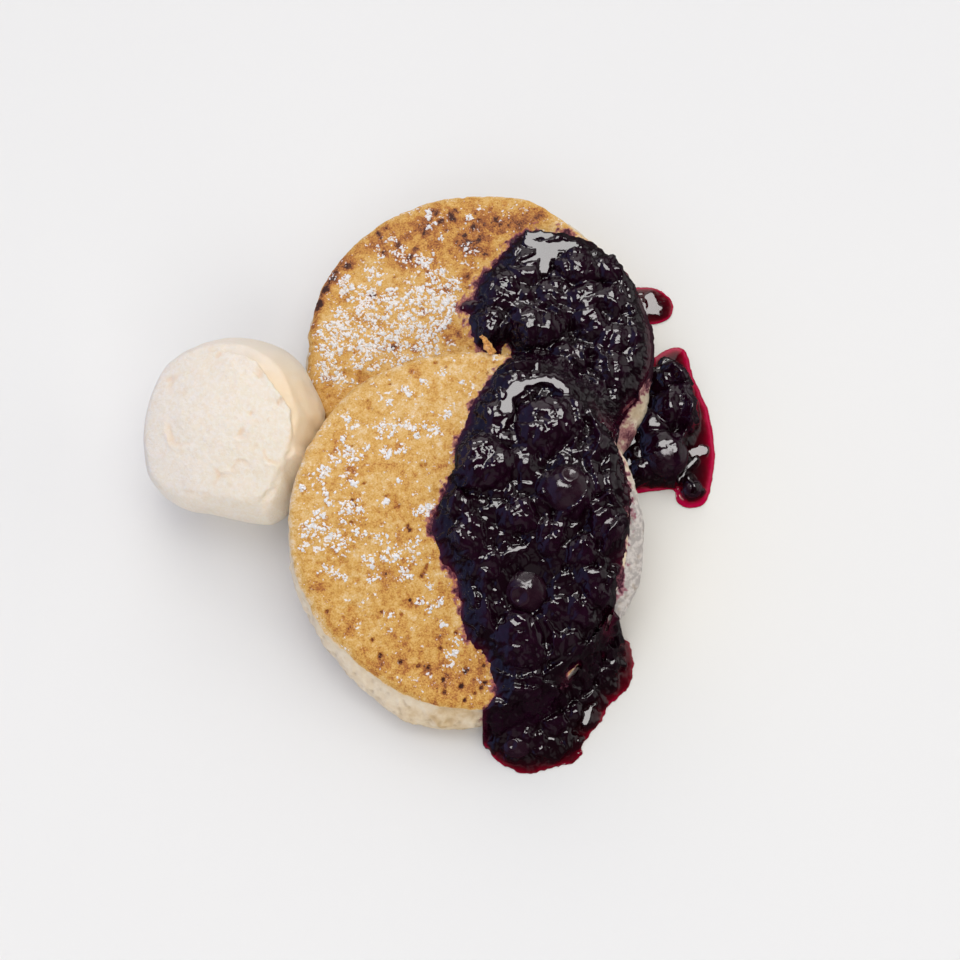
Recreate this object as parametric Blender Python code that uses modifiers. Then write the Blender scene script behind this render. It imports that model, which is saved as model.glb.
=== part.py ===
"""Two griddled crumpets with berry compote, a scoop of ice cream beside them, as served.

One crumpet lies flat, the other leans over its near half. A warm berry compote is spooned over
the right of both and runs down into pools. Metres, +Z up, the serving rests on z = 0 and its
bounding box is centred over the origin.
"""
import math

import bmesh
import bpy
from mathutils import Matrix, Vector, noise

MM = 0.001
GAP = 0.3                    # clear gap between neighbouring pieces, mm

# Crumpets (mm): centre, radius at the waist, thickness.
BACK_AT = (0.0, 2.2)
BACK_RADIUS = 50.0
FRONT_AT = (-4.0, -58.0)
FRONT_RADIUS = 50.3
THICKNESS = 19.0
SEGMENTS = 44
# Rounded side from underside to top face: (inset from the waist radius, share of the thickness).
SIDE = ((6.0, 0.0), (3.2, 0.03), (1.4, 0.13), (0.4, 0.27), (0.0, 0.45),
        (0.5, 0.63), (1.7, 0.79), (3.6, 0.91), (6.2, 0.975), (9.5, 1.0))
FACE_RINGS = (0.72, 0.44, 0.2)    # shares of the flat face's radius
# Uneven outlines: lobes (count, share of the radius, phase), then flats and bulges (share of the
# radius, angle and width in degrees).
BACK_WOBBLE = (((2, 0.006, 0.7), (3, 0.007, 2.1), (5, 0.004, 0.4), (9, 0.002, 1.3)), ())
FRONT_WOBBLE = (((2, 0.007, 2.0), (3, 0.006, 0.3), (5, 0.004, 1.9), (8, 0.003, 0.8)),
                ((-0.030, -142.0, 15.0), (0.026, -106.0, 15.0), (-0.036, -28.0, 10.0), (-0.016, -8.0, 12.0)))
# The front crumpet sags from the back one's top down to the table between these y values.
SAG_NEAR_Y, SAG_FAR_Y = -109.0, -42.0
FRONT_RAISED = THICKNESS + GAP

# Compote outlines (x, y) in mm, running counter-clockwise.
COMPOTE_ON_BACK = (
    (8, 36), (5, 31), (0, 24), (-4, 16), (-3, 7), (0, 1), (6, -3), (10, -12), (22, -22),
    (40, -24), (44, -15), (47, -9), (48.6, -2), (48.4, 6), (46.4, 16), (42.5, 26), (35.5, 33),
    (27.5, 36.5), (17.5, 38.6))
COMPOTE_ON_FRONT = (
    (10, -4), (6, -9), (2, -14), (-1, -20), (-4, -26), (-7, -35), (-10, -44), (-11, -52),
    (-13.3, -60), (-11, -67), (-7, -72), (-5.6, -78), (-4, -88), (0, -91.5), (2.6, -96),
    (2, -101), (3, -110), (26, -110), (29, -100), (33.3, -92.3), (36, -83), (38.3, -75.5),
    (39.6, -68), (41.8, -57), (41.7, -46.5), (40.0, -38), (38.5, -29), (40, -18), (30, -8))
FRONT_POOL = (
    (2, -103), (0.6, -108), (1.1, -111), (2.8, -114.5), (5.6, -117.7), (9.8, -119.8),
    (14, -120.3), (22.5, -118.6), (26.7, -117.2), (29, -113.4), (34, -106), (38.2, -99.4),
    (42.6, -93.5), (44.1, -86), (42.2, -81), (39, -77.7), (34, -80), (22, -94), (8, -100))
RIGHT_POOL = (
    (53.5, 7.5), (50, 4), (45, -5), (42, -18), (40, -30), (43, -36), (50.7, -36), (56, -35.8),
    (57.2, -39.4), (60.8, -41.2), (65.2, -39.4), (67.6, -32.5), (68.5, -23.8), (67.4, -13.8),
    (64.6, -5), (61.8, 4.6), (58.2, 8.9))
SYRUP_DROP = (
    (44, 28), (42, 24), (44, 18), (47.5, 16.3), (52.6, 16.6), (56, 18.3), (57.2, 21.8),
    (56, 25.2), (52.6, 27.9), (48.6, 28.4))
COMPOTE_DEEP, POOL_DEEP = 4.2, 2.2    # sauce depth on the crumpets and on the table, mm
SAUCE_ROOT = 4.0             # how far the sauce is first built below that surface, mm
EDGE_ROLL = 3.5              # width over which a sauce edge rounds off, mm
BANK = 11.0                  # width of the bank of sauce against the front crumpet's side, mm
SPILL_X = (28.0, 37.0)       # the bank drops away between these x values near the table, mm
LOW_BANK = 0.12              # share of the side that the bank still covers beyond them
SAUCE_CELL = 1.5             # spacing of the points the sauce layers are built from, mm
SAUCE_VOXEL = 0.9            # cell of the mesh that fuses sauce and lumps, mm
TINY = 0.001                 # edges shorter than this are dissolved after a cut, mm

# Lumps under the sauce skin: (x, y, radius, height of the centre over the surface below).
BACK_LUMPS = (
    (5.8, 18.3, 5.7, 3.2), (13.6, 24.5, 5.3, 3.6), (11, 14.0, 4.6, 4.4), (30.3, 15.0, 4.6, 4.4),
    (21.5, 16.5, 4.6, 4.0), (2.5, 7.0, 5.6, 3.0), (31.6, 7.3, 5.3, 4.4), (38.5, 14.0, 4.6, 3.0),
    (37.9, 1.5, 4.8, 3.2), (43.4, 2.7, 3.4, 1.6), (26.4, -3.5, 5.4, 5.0), (36.6, 24.0, 4.4, 2.6),
    (42.3, 17.0, 3.4, 1.6), (45.0, -4.0, 3.0, 1.4), (21.5, -7.5, 5.0, 12.0), (12, -5, 5.2, 9.5),
    (30, -14, 5.2, 12.0), (20.0, 32.0, 4.5, 2.0), (44.0, -11.0, 3.2, 1.6))
FRONT_LUMPS = (
    (11.5, -41.0, 6.0, 3.6), (32.5, -37.5, 4.8, 3.4), (10.8, -57.5, 5.6, 3.4), (5.5, -26.8, 5.2, 3.2),
    (-6.5, -54.5, 4.4, 2.4), (-2.8, -63.0, 5.2, 3.0), (19.6, -62.6, 5.0, 3.8), (28.2, -67.0, 4.6, 3.2),
    (1.6, -70.5, 4.6, 2.8), (33.0, -75.5, 5.0, 2.8), (27.0, -82.5, 4.8, 3.2), (0.4, -82.5, 5.0, 2.4),
    (24.2, -91.5, 5.8, 3.2), (13.0, -99.3, 4.8, 2.4), (19.6, -81.2, 4.0, 3.2), (6.0, -96.0, 4.2, 2.0),
    (22.0, -17.0, 5.0, 2.4), (35.0, -49.0, 4.2, 3.0), (3.5, -34.0, 4.4, 3.0))
SPILL_LUMPS = (
    (9, -108.0, 4.0, 10.0), (18, -107.5, 4.6, 8.5), (26, -103.0, 4.2, 6.0), (31, -98.4, 4.2, 3.4),
    (37, -88.8, 3.6, 2.6), (6.2, -116.0, 3.0, 1.4), (16.8, -116.0, 3.2, 1.6), (27, -110, 3.8, 2.4))
RIGHT_LUMPS = ((56.0, -2.4, 4.8, 2.6), (61.6, -15, 4.4, 1.6), (60.2, -26.5, 4.4, 1.4), (47.5, -33.0, 3.4, 1.2))

# Whole berries: name, (x, y), radius, squash in height, what they sit on.
BERRIES = (
    ("berry_1", (18.9, -30.7), 8.3, 0.86, "front"), ("berry_2", (0.6, -43.3), 7.6, 0.84, "front"),
    ("berry_3", (24.0, -50.4), 7.6, 0.86, "front"), ("berry_4", (35.6, -59.9), 5.3, 0.88, "front"),
    ("berry_5", (12.7, -75.4), 7.6, 0.90, "front"), ("berry_6", (11.0, -89.4), 6.0, 0.90, "front"),
    ("berry_7", (16.1, 5.4), 6.9, 0.88, "back"), ("berry_8", (28.1, 24.4), 5.6, 0.88, "back"),
    ("berry_9", (37.4, -7.6), 4.9, 0.88, "back"), ("berry_10", (54.0, -27.6), 6.9, 0.86, "table"),
    ("berry_11", (57.3, -12.2), 6.1, 0.86, "table"), ("berry_12", (61.6, -36.0), 3.9, 0.88, "table"),
    ("berry_13", (10.4, -112.6), 4.9, 0.90, "table"), ("berry_14", (21.9, -112.2), 3.2, 0.92, "table"))
BERRY_RINGS, BERRY_SEGMENTS = 7, 12
BERRY_SET = 0.6              # clearance of a berry over what it sits on, mm

# Ice cream (mm): ball centre and radius, and the shallow scooped face that cuts its top off.
SCOOP_AT = (-69.4, -25.4, 20.5)
SCOOP_RADIUS = 26.2
FACE_AIM = (-0.21, -0.26, 0.943)  # the way the scooped face looks
FACE_REACH = 20.5            # apex of the face from the ball's centre
FACE_DOME = 52.0             # radius of the shallow dome of the face
SCOOP_WAVE = 0.7             # unevenness of the surface

MATERIALS = {                # slot: (base colour, roughness)
    "crumpet": ((0.79, 0.60, 0.40), 0.8),
    "compote": ((0.09, 0.02, 0.045), 0.15),
    "berry": ((0.06, 0.03, 0.07), 0.3),
    "ice_cream": ((0.96, 0.90, 0.83), 0.55),
}


def clear_scene():
    for old in list(bpy.data.objects):
        bpy.data.objects.remove(old, do_unlink=True)


def make_collections():
    pieces = bpy.data.collections.new("crumpet_serving")
    cutters = bpy.data.collections.new("cutters")
    for group in (pieces, cutters):
        bpy.context.scene.collection.children.link(group)
    return pieces, cutters


def add_object(name, vertices, faces, group, slot=None):
    mesh = bpy.data.meshes.new(name)
    mesh.from_pydata([tuple(c * MM for c in v) for v in vertices], [], faces)
    mesh.update()
    made = bpy.data.objects.new(name, mesh)
    group.objects.link(made)
    if slot:
        made.data.materials.append(bpy.data.materials[slot])
    else:
        made.hide_render = True
        made.display_type = "WIRE"
    return made


def make_materials():
    for slot, (colour, roughness) in MATERIALS.items():
        material = bpy.data.materials.new(slot)
        material.use_nodes = True
        shader = material.node_tree.nodes["Principled BSDF"]
        shader.inputs["Base Color"].default_value = (*colour, 1.0)
        shader.inputs["Roughness"].default_value = roughness
        material.diffuse_color = (*colour, 1.0)


def smooth_step(share):
    share = min(max(share, 0.0), 1.0)
    return share * share * (3.0 - 2.0 * share)


def wobbled(radius, angle, wobble):
    lobes, bulges = wobble
    share = 1.0 + sum(size * math.cos(count * angle + phase) for count, size, phase in lobes)
    for size, middle, width in bulges:
        away = (math.degrees(angle) - middle + 180.0) % 360.0 - 180.0
        share += size * math.exp(-(away / width) ** 2)
    return radius * share


def front_raise(y):
    """Height of the front crumpet's underside over the table."""
    return FRONT_RAISED * smooth_step((y - SAG_NEAR_Y) / (SAG_FAR_Y - SAG_NEAR_Y))


def inside_crumpet(x, y, at, radius, wobble):
    dx, dy = x - at[0], y - at[1]
    return math.hypot(dx, dy) < wobbled(radius, math.atan2(dy, dx), wobble) - 2.0


def ground(x, y):
    """Height of whatever lies under the sauce at a place."""
    if inside_crumpet(x, y, FRONT_AT, FRONT_RADIUS, FRONT_WOBBLE):
        return front_raise(y) + THICKNESS
    if inside_crumpet(x, y, BACK_AT, BACK_RADIUS, BACK_WOBBLE):
        return THICKNESS
    return 0.0


def crumpet(name, at, radius, wobble, raised, group, slot=None, grow=0.0, floor=None):
    """A round cake with rounded sides; floor drops the underside straight down for a cutter."""
    rings = [(radius + grow - inset, share * THICKNESS) for inset, share in SIDE]
    if floor is not None:
        rings = [(radius + grow, None)] + [ring for ring in rings if ring[1] > 0.44 * THICKNESS]
    under = [(rings[0][0] * share, rings[0][1]) for share in reversed(FACE_RINGS)]
    over = [(rings[-1][0] * share, THICKNESS) for share in FACE_RINGS]
    levels = under + rings + over
    vertices, faces = [], []

    def place(x, y, level):
        if level is None:
            return (x, y, floor)
        lift = grow if level > 0.5 * THICKNESS else -grow
        return (x, y, raised(y) + level + lift)

    vertices.append(place(at[0], at[1], levels[0][1]))
    for reach, level in levels:
        for step in range(SEGMENTS):
            angle = 2 * math.pi * step / SEGMENTS
            run = wobbled(1.0, angle, wobble) * reach
            vertices.append(place(at[0] + run * math.cos(angle), at[1] + run * math.sin(angle), level))
    vertices.append(place(at[0], at[1], levels[-1][1]))
    last = len(vertices) - 1
    for step in range(SEGMENTS):
        after = (step + 1) % SEGMENTS
        faces.append((0, 1 + after, 1 + step))
        for ring in range(len(levels) - 1):
            low, high = 1 + ring * SEGMENTS, 1 + (ring + 1) * SEGMENTS
            faces.append((low + step, low + after, high + after, high + step))
        top = 1 + (len(levels) - 1) * SEGMENTS
        faces.append((last, top + step, top + after))
    return add_object(name, vertices, faces, group, slot)


def inside_outline(x, y, outline):
    inside = False
    for (x0, y0), (x1, y1) in zip(outline, outline[1:] + outline[:1]):
        if (y0 > y) != (y1 > y) and x < (x1 - x0) * (y - y0) / (y1 - y0) + x0:
            inside = not inside
    return inside


def rim_distance(x, y):
    """How far a place lies outside the front crumpet's outline, negative inside it."""
    dx, dy = x - FRONT_AT[0], y - FRONT_AT[1]
    return math.hypot(dx, dy) - wobbled(FRONT_RADIUS, math.atan2(dy, dx), FRONT_WOBBLE) + 2.0


def bank(x, y):
    """Extra height of the sauce that climbs the front crumpet's side."""
    away = rim_distance(x, y)
    if away < 0.0 or away > BANK:
        return 0.0
    step = front_raise(y) + THICKNESS - ground(x, y)
    share = 1.0
    if ground(x, y) == 0.0:
        beyond = smooth_step((x - SPILL_X[0]) / (SPILL_X[1] - SPILL_X[0]))
        share = 1.0 - beyond * (1.0 - LOW_BANK)
    return share * step * smooth_step(1.0 - away / BANK)


def nearest_on_edge(x, y, outline):
    """Closest point of an outline, and how far off it is."""
    best, spot = 1e9, (x, y)
    for (x0, y0), (x1, y1) in zip(outline, outline[1:] + outline[:1]):
        along = ((x - x0) * (x1 - x0) + (y - y0) * (y1 - y0)) / ((x1 - x0) ** 2 + (y1 - y0) ** 2)
        along = min(max(along, 0.0), 1.0)
        px, py = x0 + along * (x1 - x0), y0 + along * (y1 - y0)
        if math.hypot(x - px, y - py) < best:
            best, spot = math.hypot(x - px, y - py), (px, py)
    return best, spot


def depth_inside(x, y, outlines):
    """Distance in from the edge of the joined outlines, zero on or outside it."""
    return max([nearest_on_edge(x, y, o)[0] for o in outlines if inside_outline(x, y, o)] + [0.0])


def layer_points(outlines, deep):
    """Grid points inside the outlines, and the ring just outside pulled onto their edge."""
    xs = [p[0] for outline in outlines for p in outline]
    ys = [p[1] for outline in outlines for p in outline]
    columns = int((max(xs) - min(xs)) / SAUCE_CELL) + 4
    rows = int((max(ys) - min(ys)) / SAUCE_CELL) + 4
    spots = {}
    for i in range(columns):
        for j in range(rows):
            x, y = min(xs) + (i - 1) * SAUCE_CELL, min(ys) + (j - 1) * SAUCE_CELL
            if not any(inside_outline(x, y, outline) for outline in outlines):
                away, (x, y) = min(nearest_on_edge(x, y, outline) for outline in outlines)
                if away > 1.45 * SAUCE_CELL:
                    continue
            roll = smooth_step(0.2 + depth_inside(x, y, outlines) / EDGE_ROLL)
            spots[i, j] = (x, y, ground(x, y) - SAUCE_ROOT, ground(x, y) + bank(x, y) + deep(x, y) * roll)
    return spots


def pool_depth(x, y):
    return POOL_DEEP


def compote_depth(x, y):
    return COMPOTE_DEEP if ground(x, y) > 0.0 else POOL_DEEP


def sauce_layer(outlines, deep, mesh):
    """A layer with rolled edges over the joined outlines, following whatever lies below."""
    pairs = {key: (mesh.verts.new((x, y, top)), mesh.verts.new((x, y, low)))
             for key, (x, y, low, top) in layer_points(outlines, deep).items()}
    filled = {(i, j) for i, j in pairs
              if all(k in pairs for k in ((i + 1, j), (i, j + 1), (i + 1, j + 1)))}
    for i, j in filled:
        ring = [(i, j), (i + 1, j), (i + 1, j + 1), (i, j + 1)]
        mesh.faces.new([pairs[k][0] for k in ring])
        mesh.faces.new([pairs[k][1] for k in reversed(ring)])
        beside = [(i, j - 1), (i + 1, j), (i, j + 1), (i - 1, j)]
        for side, neighbour in enumerate(beside):
            if neighbour not in filled:
                a, b = ring[side], ring[(side + 1) % 4]
                mesh.faces.new([pairs[a][1], pairs[b][1], pairs[b][0], pairs[a][0]])


def sauce_lump(x, y, radius, height, mesh):
    made = bmesh.ops.create_icosphere(mesh, subdivisions=2, radius=radius)
    for vertex in made["verts"]:
        vertex.co = Vector((vertex.co.x, vertex.co.y, vertex.co.z * 0.85)) + Vector((x, y, height))


def use_modifier(made, kind, **settings):
    modifier = made.modifiers.new(kind.lower(), kind)
    for key, value in settings.items():
        setattr(modifier, key, value)
    depsgraph = bpy.context.evaluated_depsgraph_get()
    mesh = bpy.data.meshes.new_from_object(made.evaluated_get(depsgraph))
    made.modifiers.clear()
    old, made.data = made.data, mesh
    bpy.data.meshes.remove(old)


def sauce(name, outlines, deep, lumps, triangles, group):
    """A layer and lumps fused into one smooth skin of about the given number of triangles."""
    mesh = bmesh.new()
    sauce_layer(outlines, deep, mesh)
    for x, y, radius, height in lumps:
        sauce_lump(x, y, radius, ground(x, y) + height, mesh)
    made = add_object(name, [v.co.copy() for v in mesh.verts],
                      [[v.index for v in f.verts] for f in indexed(mesh).faces], group, "compote")
    mesh.free()
    use_modifier(made, "REMESH", mode="VOXEL", voxel_size=SAUCE_VOXEL * MM)
    use_modifier(made, "SMOOTH", factor=0.6, iterations=4)
    keep_largest(made)
    share = triangles / (2.0 * len(made.data.polygons))
    use_modifier(made, "DECIMATE", ratio=share)
    return made


def indexed(mesh):
    mesh.verts.index_update()
    return mesh


def keep_largest(made):
    """Drops every loose scrap but the largest body."""
    mesh = bmesh.new()
    mesh.from_mesh(made.data)
    left, bodies = set(mesh.verts), []
    while left:
        body, edge = set(), [left.pop()]
        while edge:
            vertex = edge.pop()
            body.add(vertex)
            for link in vertex.link_edges:
                other = link.other_vert(vertex)
                if other in left:
                    left.discard(other)
                    edge.append(other)
        bodies.append(body)
    bodies.sort(key=len)
    scraps = [vertex for body in bodies[:-1] for vertex in body]
    bmesh.ops.delete(mesh, geom=scraps, context="VERTS")
    mesh.to_mesh(made.data)
    mesh.free()


def cut(made, cutters):
    for cutter in cutters:
        use_modifier(made, "BOOLEAN", operation="DIFFERENCE", solver="EXACT", object=cutter)
    keep_largest(made)
    mesh = bmesh.new()
    mesh.from_mesh(made.data)
    bmesh.ops.triangulate(mesh, faces=mesh.faces[:])
    bmesh.ops.dissolve_degenerate(mesh, edges=mesh.edges[:], dist=TINY * MM)
    mesh.to_mesh(made.data)
    mesh.free()


def table_cutter(group):
    """Everything under z = 0."""
    reach, depth = 260.0, 60.0
    corners = [(sx * reach, sy * reach, z) for z in (-depth, 0.0) for sx, sy in ((-1, -1), (1, -1), (1, 1), (-1, 1))]
    faces = [(3, 2, 1, 0), (4, 5, 6, 7), (0, 1, 5, 4), (1, 2, 6, 5), (2, 3, 7, 6), (3, 0, 4, 7)]
    return add_object("table_cut", corners, faces, group)


def berry(name, at, radius, squash, below, group, slot=None, grow=0.0):
    """A slightly squashed and uneven ball with a shallow dimple on top."""
    levels = {"table": 0.0, "back": THICKNESS, "front": front_raise(at[1]) + THICKNESS}
    centre = Vector((at[0], at[1], levels[below] + radius * squash + BERRY_SET))
    if below == "front":
        slope = (front_raise(at[1] + radius) - front_raise(at[1] - radius)) / 2
        centre.z += abs(slope) * 0.35
    vertices = []
    for ring in range(BERRY_RINGS + 1):
        fall = math.pi * ring / BERRY_RINGS
        count = 1 if ring in (0, BERRY_RINGS) else BERRY_SEGMENTS
        for step in range(count):
            turn = 2 * math.pi * step / BERRY_SEGMENTS
            aim = Vector((math.sin(fall) * math.cos(turn), math.sin(fall) * math.sin(turn), math.cos(fall)))
            uneven = 1.0 + 0.04 * noise.noise(aim * 1.3 + centre * 0.11)
            reach = radius * uneven + grow
            dimple = 0.10 * radius if ring == 0 else 0.0
            vertices.append((centre.x + aim.x * reach, centre.y + aim.y * reach,
                             centre.z + aim.z * (reach * squash + grow * (1 - squash)) - dimple))
    faces = []
    last = len(vertices) - 1
    for step in range(BERRY_SEGMENTS):
        after = (step + 1) % BERRY_SEGMENTS
        faces.append((0, 1 + step, 1 + after))
        for ring in range(BERRY_RINGS - 2):
            upper, lower = 1 + ring * BERRY_SEGMENTS, 1 + (ring + 1) * BERRY_SEGMENTS
            faces.append((upper + step, lower + step, lower + after, upper + after))
        bottom = 1 + (BERRY_RINGS - 2) * BERRY_SEGMENTS
        faces.append((last, bottom + after, bottom + step))
    return add_object(name, vertices, faces, group, slot)


def scoop(name, group):
    """A ball of ice cream whose top is a shallow dome left by the scoop, with a ridge round it."""
    mesh = bmesh.new()
    bmesh.ops.create_icosphere(mesh, subdivisions=4, radius=1.0)
    aim = Vector(FACE_AIM).normalized()
    for vertex in mesh.verts:
        way = vertex.co.normalized()
        reach = SCOOP_RADIUS + SCOOP_WAVE * noise.noise(way * 2.3)
        along = way.dot(aim)
        if along > 0.2:
            offset = FACE_REACH - FACE_DOME
            root = (offset * along) ** 2 - offset ** 2 + FACE_DOME ** 2
            face = offset * along + math.sqrt(max(root, 0.0))
            reach = min(reach, face + 0.6 * SCOOP_WAVE * noise.noise(way * 4.1))
        vertex.co = way * reach + Vector(SCOOP_AT)
    made = add_object(name, [v.co.copy() for v in mesh.verts],
                      [[v.index for v in f.verts] for f in indexed(mesh).faces], group, "ice_cream")
    mesh.free()
    use_modifier(made, "DECIMATE", ratio=0.6)
    return made


def level_ground(y):
    return 0.0


def centre_over_origin(group):
    corners = [v.co for made in group.objects for v in made.data.vertices]
    low = Vector([min(c[i] for c in corners) for i in range(3)])
    high = Vector([max(c[i] for c in corners) for i in range(3)])
    shift = Vector((-(low.x + high.x) / 2, -(low.y + high.y) / 2, -low.z))
    for made in group.objects:
        made.data.transform(Matrix.Translation(shift))


def build():
    clear_scene()
    make_materials()
    pieces, cutters = make_collections()
    back = (BACK_AT, BACK_RADIUS, BACK_WOBBLE, level_ground)
    front = (FRONT_AT, FRONT_RADIUS, FRONT_WOBBLE, front_raise)
    crumpet("crumpet_back", *back, pieces, "crumpet")
    crumpet("crumpet_front", *front, pieces, "crumpet")
    table = table_cutter(cutters)
    back_cut = crumpet("back_cut", *back, cutters, grow=GAP, floor=-10.0)
    front_cut = crumpet("front_cut", *front, cutters, grow=GAP, floor=-10.0)

    berry_cuts = {}
    for name, at, radius, squash, below in BERRIES:
        berry(name, at, radius, squash, below, pieces, "berry")
        berry_cuts[name] = berry(name + "_cut", at, radius, squash, below, cutters, grow=GAP * 1.2)
    spilled = ("berry_13", "berry_14")
    beside = ("berry_10", "berry_11", "berry_12")

    compote = sauce("compote", (COMPOTE_ON_BACK, COMPOTE_ON_FRONT, FRONT_POOL), compote_depth,
                    BACK_LUMPS + FRONT_LUMPS + SPILL_LUMPS, 2000, pieces)
    cut(compote, [front_cut, back_cut, table]
        + [berry_cuts[name] for name, *_ in BERRIES if name not in beside])
    right = sauce("compote_right", (RIGHT_POOL,), pool_depth, RIGHT_LUMPS, 480, pieces)
    cut(right, [front_cut, back_cut, table] + [berry_cuts[name] for name in beside])
    drop = sauce("syrup_drop", (SYRUP_DROP,), pool_depth, (), 160, pieces)
    cut(drop, [back_cut, table])
    cream = scoop("ice_cream_scoop", pieces)
    cut(cream, [back_cut, front_cut, table])
    centre_over_origin(pieces)


build()
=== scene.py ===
"""Looks of the crumpet serving: two griddled crumpets under a dark berry compote, with icing
sugar, pools of syrup and a scoop of ice cream.

All shapes are worked out in millimetres, with the back crumpet's centre as origin, and are then
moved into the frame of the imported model.
"""
import math

import bpy
import numpy as np
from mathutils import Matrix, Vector
from mathutils.geometry import delaunay_2d_cdt


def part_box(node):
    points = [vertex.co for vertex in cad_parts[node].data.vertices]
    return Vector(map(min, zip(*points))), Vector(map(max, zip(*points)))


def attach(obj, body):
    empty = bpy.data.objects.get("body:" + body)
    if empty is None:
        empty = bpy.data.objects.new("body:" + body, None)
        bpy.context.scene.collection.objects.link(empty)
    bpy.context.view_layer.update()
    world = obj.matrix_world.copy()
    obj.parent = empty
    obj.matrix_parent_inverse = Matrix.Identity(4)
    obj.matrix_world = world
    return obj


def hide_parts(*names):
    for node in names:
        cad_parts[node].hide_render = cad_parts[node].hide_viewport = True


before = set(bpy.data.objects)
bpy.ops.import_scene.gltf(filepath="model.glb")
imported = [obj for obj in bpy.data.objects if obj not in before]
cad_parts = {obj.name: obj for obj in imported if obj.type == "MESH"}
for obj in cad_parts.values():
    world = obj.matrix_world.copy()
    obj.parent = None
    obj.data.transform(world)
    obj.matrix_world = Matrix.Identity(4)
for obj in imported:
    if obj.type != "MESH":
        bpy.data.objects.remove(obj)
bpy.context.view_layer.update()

MM = 0.001


# ---------------------------------------------------------------- noise
def lattice(ix, iy, iz, seed):
    """A repeatable value from 0 to 1 at each whole-numbered point."""
    h = (ix * 73856093) ^ (iy * 19349663) ^ (iz * 83492791) ^ (seed * 2654435)
    h = (h ^ (h >> 13)) & 0x7FFFFFFF
    h = (h * 1274126177) & 0x7FFFFFFF
    h = (h ^ (h >> 16)) & 0x7FFFFFFF
    h = (h * 668265263) & 0x7FFFFFFF
    return ((h >> 7) & 0xFFFF) / 65535.0


def noise(points, seed=0):
    """Smooth value noise from -1 to 1; the points are in cells."""
    whole = np.floor(points)
    part = points - whole
    cell = whole.astype(np.int64)
    ease = part ** 3 * (part * (part * 6 - 15) + 10)
    total = 0.0
    for dx in (0, 1):
        wx = ease[:, 0] if dx else 1 - ease[:, 0]
        for dy in (0, 1):
            wy = ease[:, 1] if dy else 1 - ease[:, 1]
            for dz in (0, 1):
                wz = ease[:, 2] if dz else 1 - ease[:, 2]
                corner = lattice(cell[:, 0] + dx, cell[:, 1] + dy, cell[:, 2] + dz, seed)
                total = total + wx * wy * wz * corner
    return total * 2 - 1


def fbm(points, octaves=3, seed=0, gain=0.5):
    """Layered noise from about -1 to 1."""
    total, size, reach = 0.0, 1.0, 0.0
    for octave in range(octaves):
        total = total + size * noise(points * 2.03 ** octave + 17.3 * octave, seed + octave * 7)
        reach += size
        size *= gain
    return total / reach


def ridges(points, octaves=2, seed=0):
    """Sharp-crested noise from 0 to 1."""
    total, size, reach = 0.0, 1.0, 0.0
    for octave in range(octaves):
        total = total + size * (1 - np.abs(noise(points * 2.1 ** octave + 9.1 * octave, seed + octave * 5)))
        reach += size
        size *= 0.5
    return total / reach


def bubbles(points, seed=0, kept=1.0):
    """Distance to the nearest of the points scattered one to a cell, in the share of cells kept."""
    cell = np.floor(points).astype(np.int64)
    best = np.full(len(points), 9.0)
    for dx in (-1, 0, 1):
        for dy in (-1, 0, 1):
            for dz in (-1, 0, 1):
                c = cell + np.array((dx, dy, dz))
                cx, cy, cz = c.T
                spot = np.stack([c[:, k] + lattice(cx, cy, cz, seed + k) for k in range(3)], 1)
                away = np.linalg.norm(points - spot, axis=1)
                if kept < 1.0:
                    away = away + 9.0 * (lattice(cx, cy, cz, seed + 4) > kept)
                best = np.minimum(best, away)
    return best


def flat3(x, y, z=0.0):
    return np.stack([x, y, np.zeros_like(x) + z], 1)


def plan_noise(x, y, cell, seed):
    """Smooth noise over the plan, with cells in mm."""
    return noise(flat3(x, y) / cell, seed)


def plan_fbm(x, y, cell, octaves, seed, gain=0.5):
    """Layered noise over the plan, with its widest cells in mm."""
    return fbm(flat3(x, y) / cell, octaves, seed, gain)


def creased(points, seed):
    """Noise with creases for valleys, about 0 on average."""
    return np.abs(noise(points, seed)) - 0.2


def unit(vector):
    return vector / np.linalg.norm(vector)


def smooth(share):
    """Smooth step from 0 to 1, held at its ends."""
    share = np.clip(share, 0.0, 1.0)
    return share * share * (3 - 2 * share)


def curve_between(before, start, end, after, t):
    """Catmull-Rom curve from start (t = 0) to end (t = 1)."""
    return 0.5 * (2 * start + (end - before) * t + (2 * before - 5 * start + 4 * end - after) * t ** 2
                  + (3 * start - before - 3 * end + after) * t ** 3)


def off_segment(x, y, x0, y0, x1, y1):
    """Offset of each place from the nearest point of a segment."""
    dx, dy = x1 - x0, y1 - y0
    along = np.clip(((x - x0) * dx + (y - y0) * dy) / max(dx * dx + dy * dy, 1e-9), 0, 1)
    return x - x0 - along * dx, y - y0 - along * dy


# ---------------------------------------------------------------- mesh helpers
CAD_OUTLINE_POINTS = 44      # corners of the back crumpet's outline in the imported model


def frame_shift():
    """From the design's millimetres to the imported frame's."""
    low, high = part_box("crumpet_back")
    angle = np.linspace(0, 2 * np.pi, CAD_OUTLINE_POINTS, endpoint=False)
    reach = BACK.waist(angle)
    x, y = BACK.at[0] + reach * np.cos(angle), BACK.at[1] + reach * np.sin(angle)
    return np.array([(low[0] + high[0]) / 2 / MM - (x.min() + x.max()) / 2,
                     (low[1] + high[1]) / 2 / MM - (y.min() + y.max()) / 2, low[2] / MM])


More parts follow.
